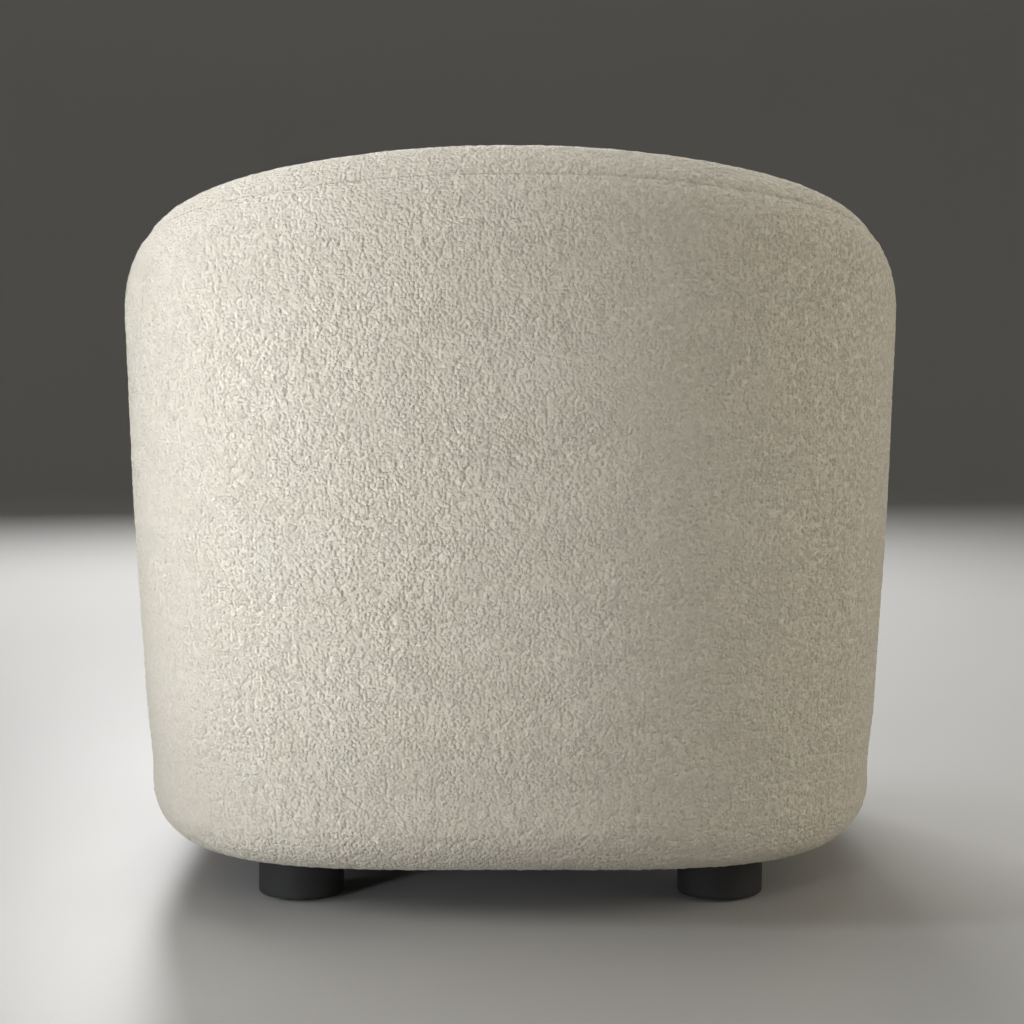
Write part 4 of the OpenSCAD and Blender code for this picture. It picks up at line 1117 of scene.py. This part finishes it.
def make_zip(cushion):
    """The zip at the back of the cushion's side, sunk in the cloth: tape, teeth and slider."""
    path, run, side = zip_path(cushion)
    tape, steel = finish("tape_cream"), finish("steel_zinc")
    left = [(-0.0055, -0.0012), (-0.0062, 0.0), (-0.0060, 0.0005), (-0.0020, 0.0006)]
    section = left + [(-h, lift) for h, lift in left[::-1]]
    points = [tuple(p + n * lift + np.array([0, 0, h])) for p, n in zip(path, side) for h, lift in section]
    m = len(section)
    faces = grid_faces(len(path), m, close_columns=True)
    faces += [list(range(m))[::-1], [(len(path) - 1) * m + i for i in range(m)]]
    strip = outward(new_piece("zip_tape", points, faces, [tape]))
    inner = path[4:-4] + side[4:-4] * 0.0008
    tooth = bar("tooth", [(-0.0007, 0.0), (-0.0004, 0.0004), (0.0004, 0.0004), (0.0007, 0.0)], 0.0019, 0.0003)
    teeth = row_of("zip_teeth", inner, side[4:-4], tooth, TOOTH_SPACING, 0.0012, steel)
    at = len(path) - 12
    back = [(-0.0045, 0.0), (-0.0030, 0.0007), (0.0030, 0.0007), (0.0045, 0.0)]
    slider = bar("zip_slider", back, 0.0034, 0.0005)
    give_materials(slider.data, steel)
    for v in slider.data.vertices:
        along = run[at] * v.co.x + side[at][:2] * (v.co.z + 0.0011)
        v.co = Vector((*(path[at][:2] + along), ZIP_Z + v.co.y))
    outward(slider)
    for piece, slot in ((strip, "boucle"), (teeth, "steel"), (slider, "steel")):
        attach(piece, "seat_cushion")


# Cloth on the frame


def flat_sheet(name, outline, low, high, sag):
    """A closed thin sheet of lining on an outline, with a fine wander in its height."""
    middle = outline.mean(0)
    shares = np.linspace(1, 0.04, 30)

    def ring(share, z):
        p = middle + (outline - middle) * share
        wave_z = np.sin(p[:, 0] * 61) * np.sin(p[:, 1] * 53 + 1.3)
        height = z + sag * (wave_z * 0.5 - 0.5) * min(1, (1 - share) * 8)
        return np.concatenate([p, height[:, None]], -1)

    m = len(outline)
    rings = [ring(s, high) for s in shares] + [ring(s, low) for s in shares[::-1]]
    points = [tuple(p) for r in rings for p in r]
    points += [(*middle, high - sag * 0.5), (*middle, low - sag * 0.5)]
    upper_in = (len(shares) - 1) * m
    lower_in = upper_in + m
    lower_out = (len(rings) - 1) * m
    faces = grid_faces(len(shares), m, close_columns=True)
    faces += grid_faces(len(shares), m, close_columns=True, first=lower_in)
    for i in range(m):
        j = (i + 1) % m
        faces.append([upper_in + i, upper_in + j, len(points) - 2])
        faces.append([lower_in + j, lower_in + i, len(points) - 1])
        faces.append([i, lower_out + i, lower_out + j, j])
    return outward(new_piece(name, points, faces, [finish("lining_charcoal")]))


def plan_line(s, z, count=121, inner=False):
    """Plan points of the sweep, s in from the outside face, or s in front of the inside face."""
    wall = Wall(np.linspace(-LAST, LAST, count))
    h = np.full(count, z)
    if inner:
        below = np.maximum(wall.spring - h, 0)
        return wall.place(wall.w + RECLINE * wall.share * below + s, h)[:, :2]
    return wall.place(np.full(count, s), h)[:, :2]


def front_line(r, reach, count=41):
    x = np.linspace(-reach, reach, count)
    return np.stack([x, FRONT_C - np.sqrt(r * r - x * x)], -1)


def make_deck_cloth():
    back = plan_line(0.0014, RING_TOP, inner=True)
    back = back[back[:, 1] > -0.245]
    outline = np.concatenate([back, front_line(LIP_R - 0.0003, 0.198)[::-1]])
    piece = flat_sheet("deck_cloth_sheet", outline, DECK_Z, DECK_H - SHEET_GAP, 0.0002)
    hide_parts("deck_cloth")
    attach(piece, "chair")


def make_dust_cover():
    sweep = plan_line(EDGE_R + DUST_LAP, BASE_Z)
    outline = np.concatenate([sweep, front_line(FRONT_BOARD_R - DUST_LAP, 0.222)[::-1]])
    piece = flat_sheet("dust_cover_sheet", outline, UNDER_Z - DUST_T, UNDER_Z - SHEET_GAP, 0.0)
    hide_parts("dust_cover")
    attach(piece, "chair")


def make_staples():
    """Staples that hold the cloth under the chair, along its edge."""
    sweep = plan_line(EDGE_R + DUST_LAP + STAPLE_INSET, BASE_Z, 241)
    front = front_line(FRONT_BOARD_R - DUST_LAP - STAPLE_INSET, 0.205)[::-1]
    level = UNDER_Z - DUST_T - 0.0003
    steel = finish("steel_zinc")
    crown, leg, shoulder = 0.0055, 0.0012, 0.0003
    wire = [(-crown, -leg), (-crown, -shoulder), (-crown + 2 * shoulder, 0.0)]
    wire += [(-x, z) for x, z in wire[::-1]]
    for name, line in (("staples_sweep", sweep), ("staples_front", front)):
        path = np.concatenate([line, np.full((len(line), 1), level)], -1)
        down = np.tile([0.0, 0.0, -1.0], (len(path), 1))
        staple = bar("staple", wire, 0.0006, 0.00025)
        piece = row_of(name, path, down, staple, STAPLE_SPACING, 0.0022, steel)
        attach(piece, "chair")


# Finishes of the solids that stay


BOARDS = ("outer_board", "inner_board", "top_rail", "base_board", "front_board", "seat_ring")
SOLID_FINISHES = (
    (("foot_studs", "foot_nuts", "base_screws"), "steel_zinc"),
    (("foot_",), "foot_black"),
    (("glide",), "glide_grey"),
    (("strap",), "webbing_black"),
    (("rib", "arm_panel", *BOARDS), "plywood_birch"),
)


def finish_solids():
    """Gives each solid that stays the finish of the first row its name starts like."""
    for name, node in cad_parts.items():
        label = next((label for starts, label in SOLID_FINISHES if name.startswith(starts)), None)
        for slot in node.material_slots if label else ():
            slot.material = finish(label)


# Stage


def studio_surface(name, colour):
    material, tree, shader = new_material(name, 0.42, Specular_IOR_Level=0.3)
    tone = wander(tree, object_place(tree), 0.9, 0.985, 1.015)
    dress(tree, shader, vector_node(tree, "SCALE", colour, scale=tone))
    return material


COOL, WARM, PLAIN = (0.92, 0.95, 1.0), (1.0, 0.95, 0.84), (1.0, 1.0, 1.0)

# Name, place, aim, size, spread in degrees and colour. The stage's settings hold each lamp's power.
LAMPS = (
    ("key", (1.3, 1.7, 0.6), (0.2, 0.3, 0.46), (0.3, 0.9), 24, COOL),
    ("left", (1.75, 0.62, 0.75), (0.1, 0.35, 0.48), (0.3, 0.6), 60, COOL),
    ("back", (-0.4, 3.6, 2.5), (0, 0.3, 0.4), (2.2, 1.6), 180, WARM),
    ("top", (0.2, -0.6, 2.8), (0, 0, 0.4), (2.2, 2.0), 180, PLAIN),
    ("front", (0.4, -3.0, 1.8), (0, 0, 0.4), (1.4, 1.2), 180, PLAIN),
    ("right", (-3.0, 0.9, 1.0), (0, 0.1, 0.35), (1.6, 1.8), 180, (1.0, 0.94, 0.81)),
)


def make_floor(colour):
    """A round floor that curves up to a backdrop."""
    profile = [(0.0, 0.0)] + [(r, 0.0) for r in (0.6, 1.4, 2.4, 3.4, 4.4)]
    profile += [(4.6 + 2.4 * math.sin(a), 2.4 - 2.4 * math.cos(a)) for a in np.linspace(0, math.pi / 2, 17)]
    profile += [(7.0, z) for z in (3.2, 4.2, 5.2)]
    m = 96
    turns = np.linspace(0, 2 * math.pi, m + 1)[:-1]
    points = [(0, 0, 0)] + [(r * math.cos(a), r * math.sin(a), z) for r, z in profile[1:] for a in turns]
    faces = [[0, 1 + i, 1 + (i + 1) % m] for i in range(m)]
    faces += [face[::-1] for face in grid_faces(len(profile) - 1, m, close_columns=True, first=1)]
    floor = new_piece("studio_floor", points, faces, [studio_surface("studio_pale", tuple(colour))])


def make_lamp(name, place, aim, size, spread, colour, power):
    data = bpy.data.lights.new(name, "AREA")
    data.shape = "RECTANGLE"
    data.size, data.size_y = size
    data.energy = power
    data.spread = math.radians(spread)
    data.color = colour
    obj = show(name, data)
    obj.location = place
    obj.rotation_euler = (Vector(aim) - Vector(place)).to_track_quat("-Z", "Y").to_euler()
    obj.visible_camera = False


def make_stage():
    look = bpy.context.scene.chair_stage
    make_floor(look.floor_colour)
    for name, *settings in LAMPS:
        make_lamp(name, *settings, getattr(look, f"{name}_power"))
    world = bpy.data.worlds.new("studio")
    world.use_nodes = True
    background = world.node_tree.nodes["Background"]
    background.inputs["Color"].default_value = (1.0, 0.96, 0.89, 1)
    background.inputs["Strength"].default_value = look.world_power
    bpy.context.scene.world = world

    camera = bpy.data.cameras.new("camera")
    camera.sensor_width = 36
    camera.lens = look.lens
    camera.shift_x = look.shift_x
    camera.clip_end = 50
    eye = show("camera", camera)
    eye.location = (0, look.distance, look.eye_height)
    eye.rotation_euler = (math.radians(90) - look.pitch, 0, math.radians(180))
    bpy.context.scene.camera = eye
    bpy.context.scene.view_settings.view_transform = "Standard"


# Add-on


class ChairCloth(bpy.types.PropertyGroup):
    """The looped cloth and its seams."""

    cloth_colour: FloatVectorProperty(
        name="Cloth colour",
        description="Colour of the cream looped cloth",
        subtype="COLOR",
        size=3,
        default=(0.85, 0.795, 0.68),
    )
    loop_size: FloatProperty(
        name="Loop size", description="Distance between neighbouring loops", unit="LENGTH", default=0.0034
    )
    loop_height: FloatProperty(
        name="Loop height",
        description="How far the clumps of loops stand off the cloth",
        unit="LENGTH",
        default=0.0010,
    )
    loop_bend: FloatProperty(name="Loop bend", description="How strongly the loops bend and crowd", default=0.7)
    seam_depth: FloatProperty(
        name="Seam depth", description="How far the seams are drawn in", unit="LENGTH", default=0.0014
    )
    grid_step: FloatProperty(
        name="Grid step", description="Spacing of the points of the covers", unit="LENGTH", default=0.0031
    )
    seed: IntProperty(name="Seed", description="Picks another scatter of loops", default=3)


class ChairStage(bpy.types.PropertyGroup):
    """The floor, lamps and camera."""

    floor_colour: FloatVectorProperty(
        name="Floor colour",
        description="Colour of the floor and backdrop",
        subtype="COLOR",
        size=3,
        default=(0.56, 0.555, 0.545),
    )
    key_power: FloatProperty(name="Key power", description="Power of the lamp from the left", default=1.05)
    left_power: FloatProperty(
        name="Left power", description="Power of the lamp that rakes along the back", default=1.9
    )
    back_power: FloatProperty(
        name="Back power", description="Power of the high lamp behind the camera", default=18.5
    )
    top_power: FloatProperty(name="Top power", description="Power of the lamp overhead", default=36.0)
    front_power: FloatProperty(
        name="Front power", description="Power of the lamp at the chair's front", default=80.0
    )
    right_power: FloatProperty(name="Right power", description="Power of the lamp from the right", default=28.0)
    world_power: FloatProperty(name="Surround", description="Strength of the even light", default=0.06)
    lens: FloatProperty(name="Lens", description="Focal length in millimetres", default=84.0)
    shift_x: FloatProperty(name="Shift", description="Sideways shift of the picture", default=0.0015)
    distance: FloatProperty(
        name="Distance", description="Camera's distance behind the chair", unit="LENGTH", default=2.46
    )
    eye_height: FloatProperty(name="Height", description="Camera's height", unit="LENGTH", default=0.583)
    pitch: FloatProperty(
        name="Pitch", description="Downward tilt of the camera", subtype="ANGLE", default=0.0931
    )


class OutsideCover(bpy.types.Operator):
    """Makes the cloth on the outside of the back and arms"""

    bl_idname = "tub_chair.outside_cover"
    bl_label = "Outside cover"

    def execute(self, context):
        make_outside_cover()
        return {"FINISHED"}


class InsideCover(bpy.types.Operator):
    """Makes the cloth over the rim and down the inside"""

    bl_idname = "tub_chair.inside_cover"
    bl_label = "Inside cover"

    def execute(self, context):
        make_inside_cover()
        return {"FINISHED"}


class Noses(bpy.types.Operator):
    """Makes the rounded fronts of the arms"""

    bl_idname = "tub_chair.noses"
    bl_label = "Arm noses"

    def execute(self, context):
        make_nose(1, "left")
        make_nose(-1, "right")
        return {"FINISHED"}


class SeatFront(bpy.types.Operator):
    """Makes the bowed front under the seat cushion"""

    bl_idname = "tub_chair.seat_front"
    bl_label = "Seat front"

    def execute(self, context):
        make_seat_front()
        return {"FINISHED"}


class SeatCushion(bpy.types.Operator):
    """Makes the loose seat cushion and its zip"""

    bl_idname = "tub_chair.seat_cushion"
    bl_label = "Seat cushion"

    def execute(self, context):
        make_seat_cushion()
        return {"FINISHED"}


class FrameCloths(bpy.types.Operator):
    """Makes the deck cloth, the cloth that closes the underside and its staples"""

    bl_idname = "tub_chair.frame_cloths"
    bl_label = "Frame cloths"

    def execute(self, context):
        make_deck_cloth()
        make_dust_cover()
        make_staples()
        return {"FINISHED"}


class SolidFinishes(bpy.types.Operator):
    """Gives the frame, feet and fixings their finishes"""

    bl_idname = "tub_chair.finishes"
    bl_label = "Finishes"

    def execute(self, context):
        finish_solids()
        return {"FINISHED"}


class Stage(bpy.types.Operator):
    """Makes the floor, lamps and camera"""

    bl_idname = "tub_chair.stage"
    bl_label = "Stage"

    def execute(self, context):
        make_stage()
        return {"FINISHED"}


OPERATORS = (OutsideCover, InsideCover, Noses, SeatFront, SeatCushion, FrameCloths, SolidFinishes, Stage)


class ChairPanel(bpy.types.Panel):
    """Lists the chair's pieces and settings in the sidebar"""

    bl_idname = "VIEW3D_PT_tub_chair"
    bl_label = "Tub chair"
    bl_space_type = "VIEW_3D"
    bl_region_type = "UI"
    bl_category = "Tub chair"

    def draw(self, context):
        layout = self.layout
        for group in (context.scene.chair_cloth, context.scene.chair_stage):
            for name in group.bl_rna.properties.keys():
                if name not in ("rna_type", "name"):
                    layout.prop(group, name)
        for operator in OPERATORS:
            layout.operator(operator.bl_idname)


CLASSES = (ChairCloth, ChairStage, *OPERATORS, ChairPanel)


def register():
    for item in CLASSES:
        bpy.utils.register_class(item)
    bpy.types.Scene.chair_cloth = PointerProperty(type=ChairCloth)
    bpy.types.Scene.chair_stage = PointerProperty(type=ChairStage)


def unregister():
    del bpy.types.Scene.chair_cloth
    del bpy.types.Scene.chair_stage
    for item in reversed(CLASSES):
        bpy.utils.unregister_class(item)


def main():
    register()
    bpy.ops.tub_chair.outside_cover()
    bpy.ops.tub_chair.inside_cover()
    bpy.ops.tub_chair.noses()
    bpy.ops.tub_chair.seat_front()
    bpy.ops.tub_chair.seat_cushion()
    bpy.ops.tub_chair.frame_cloths()
    bpy.ops.tub_chair.finishes()
    bpy.ops.tub_chair.stage()


if __name__ == "__main__":
    main()
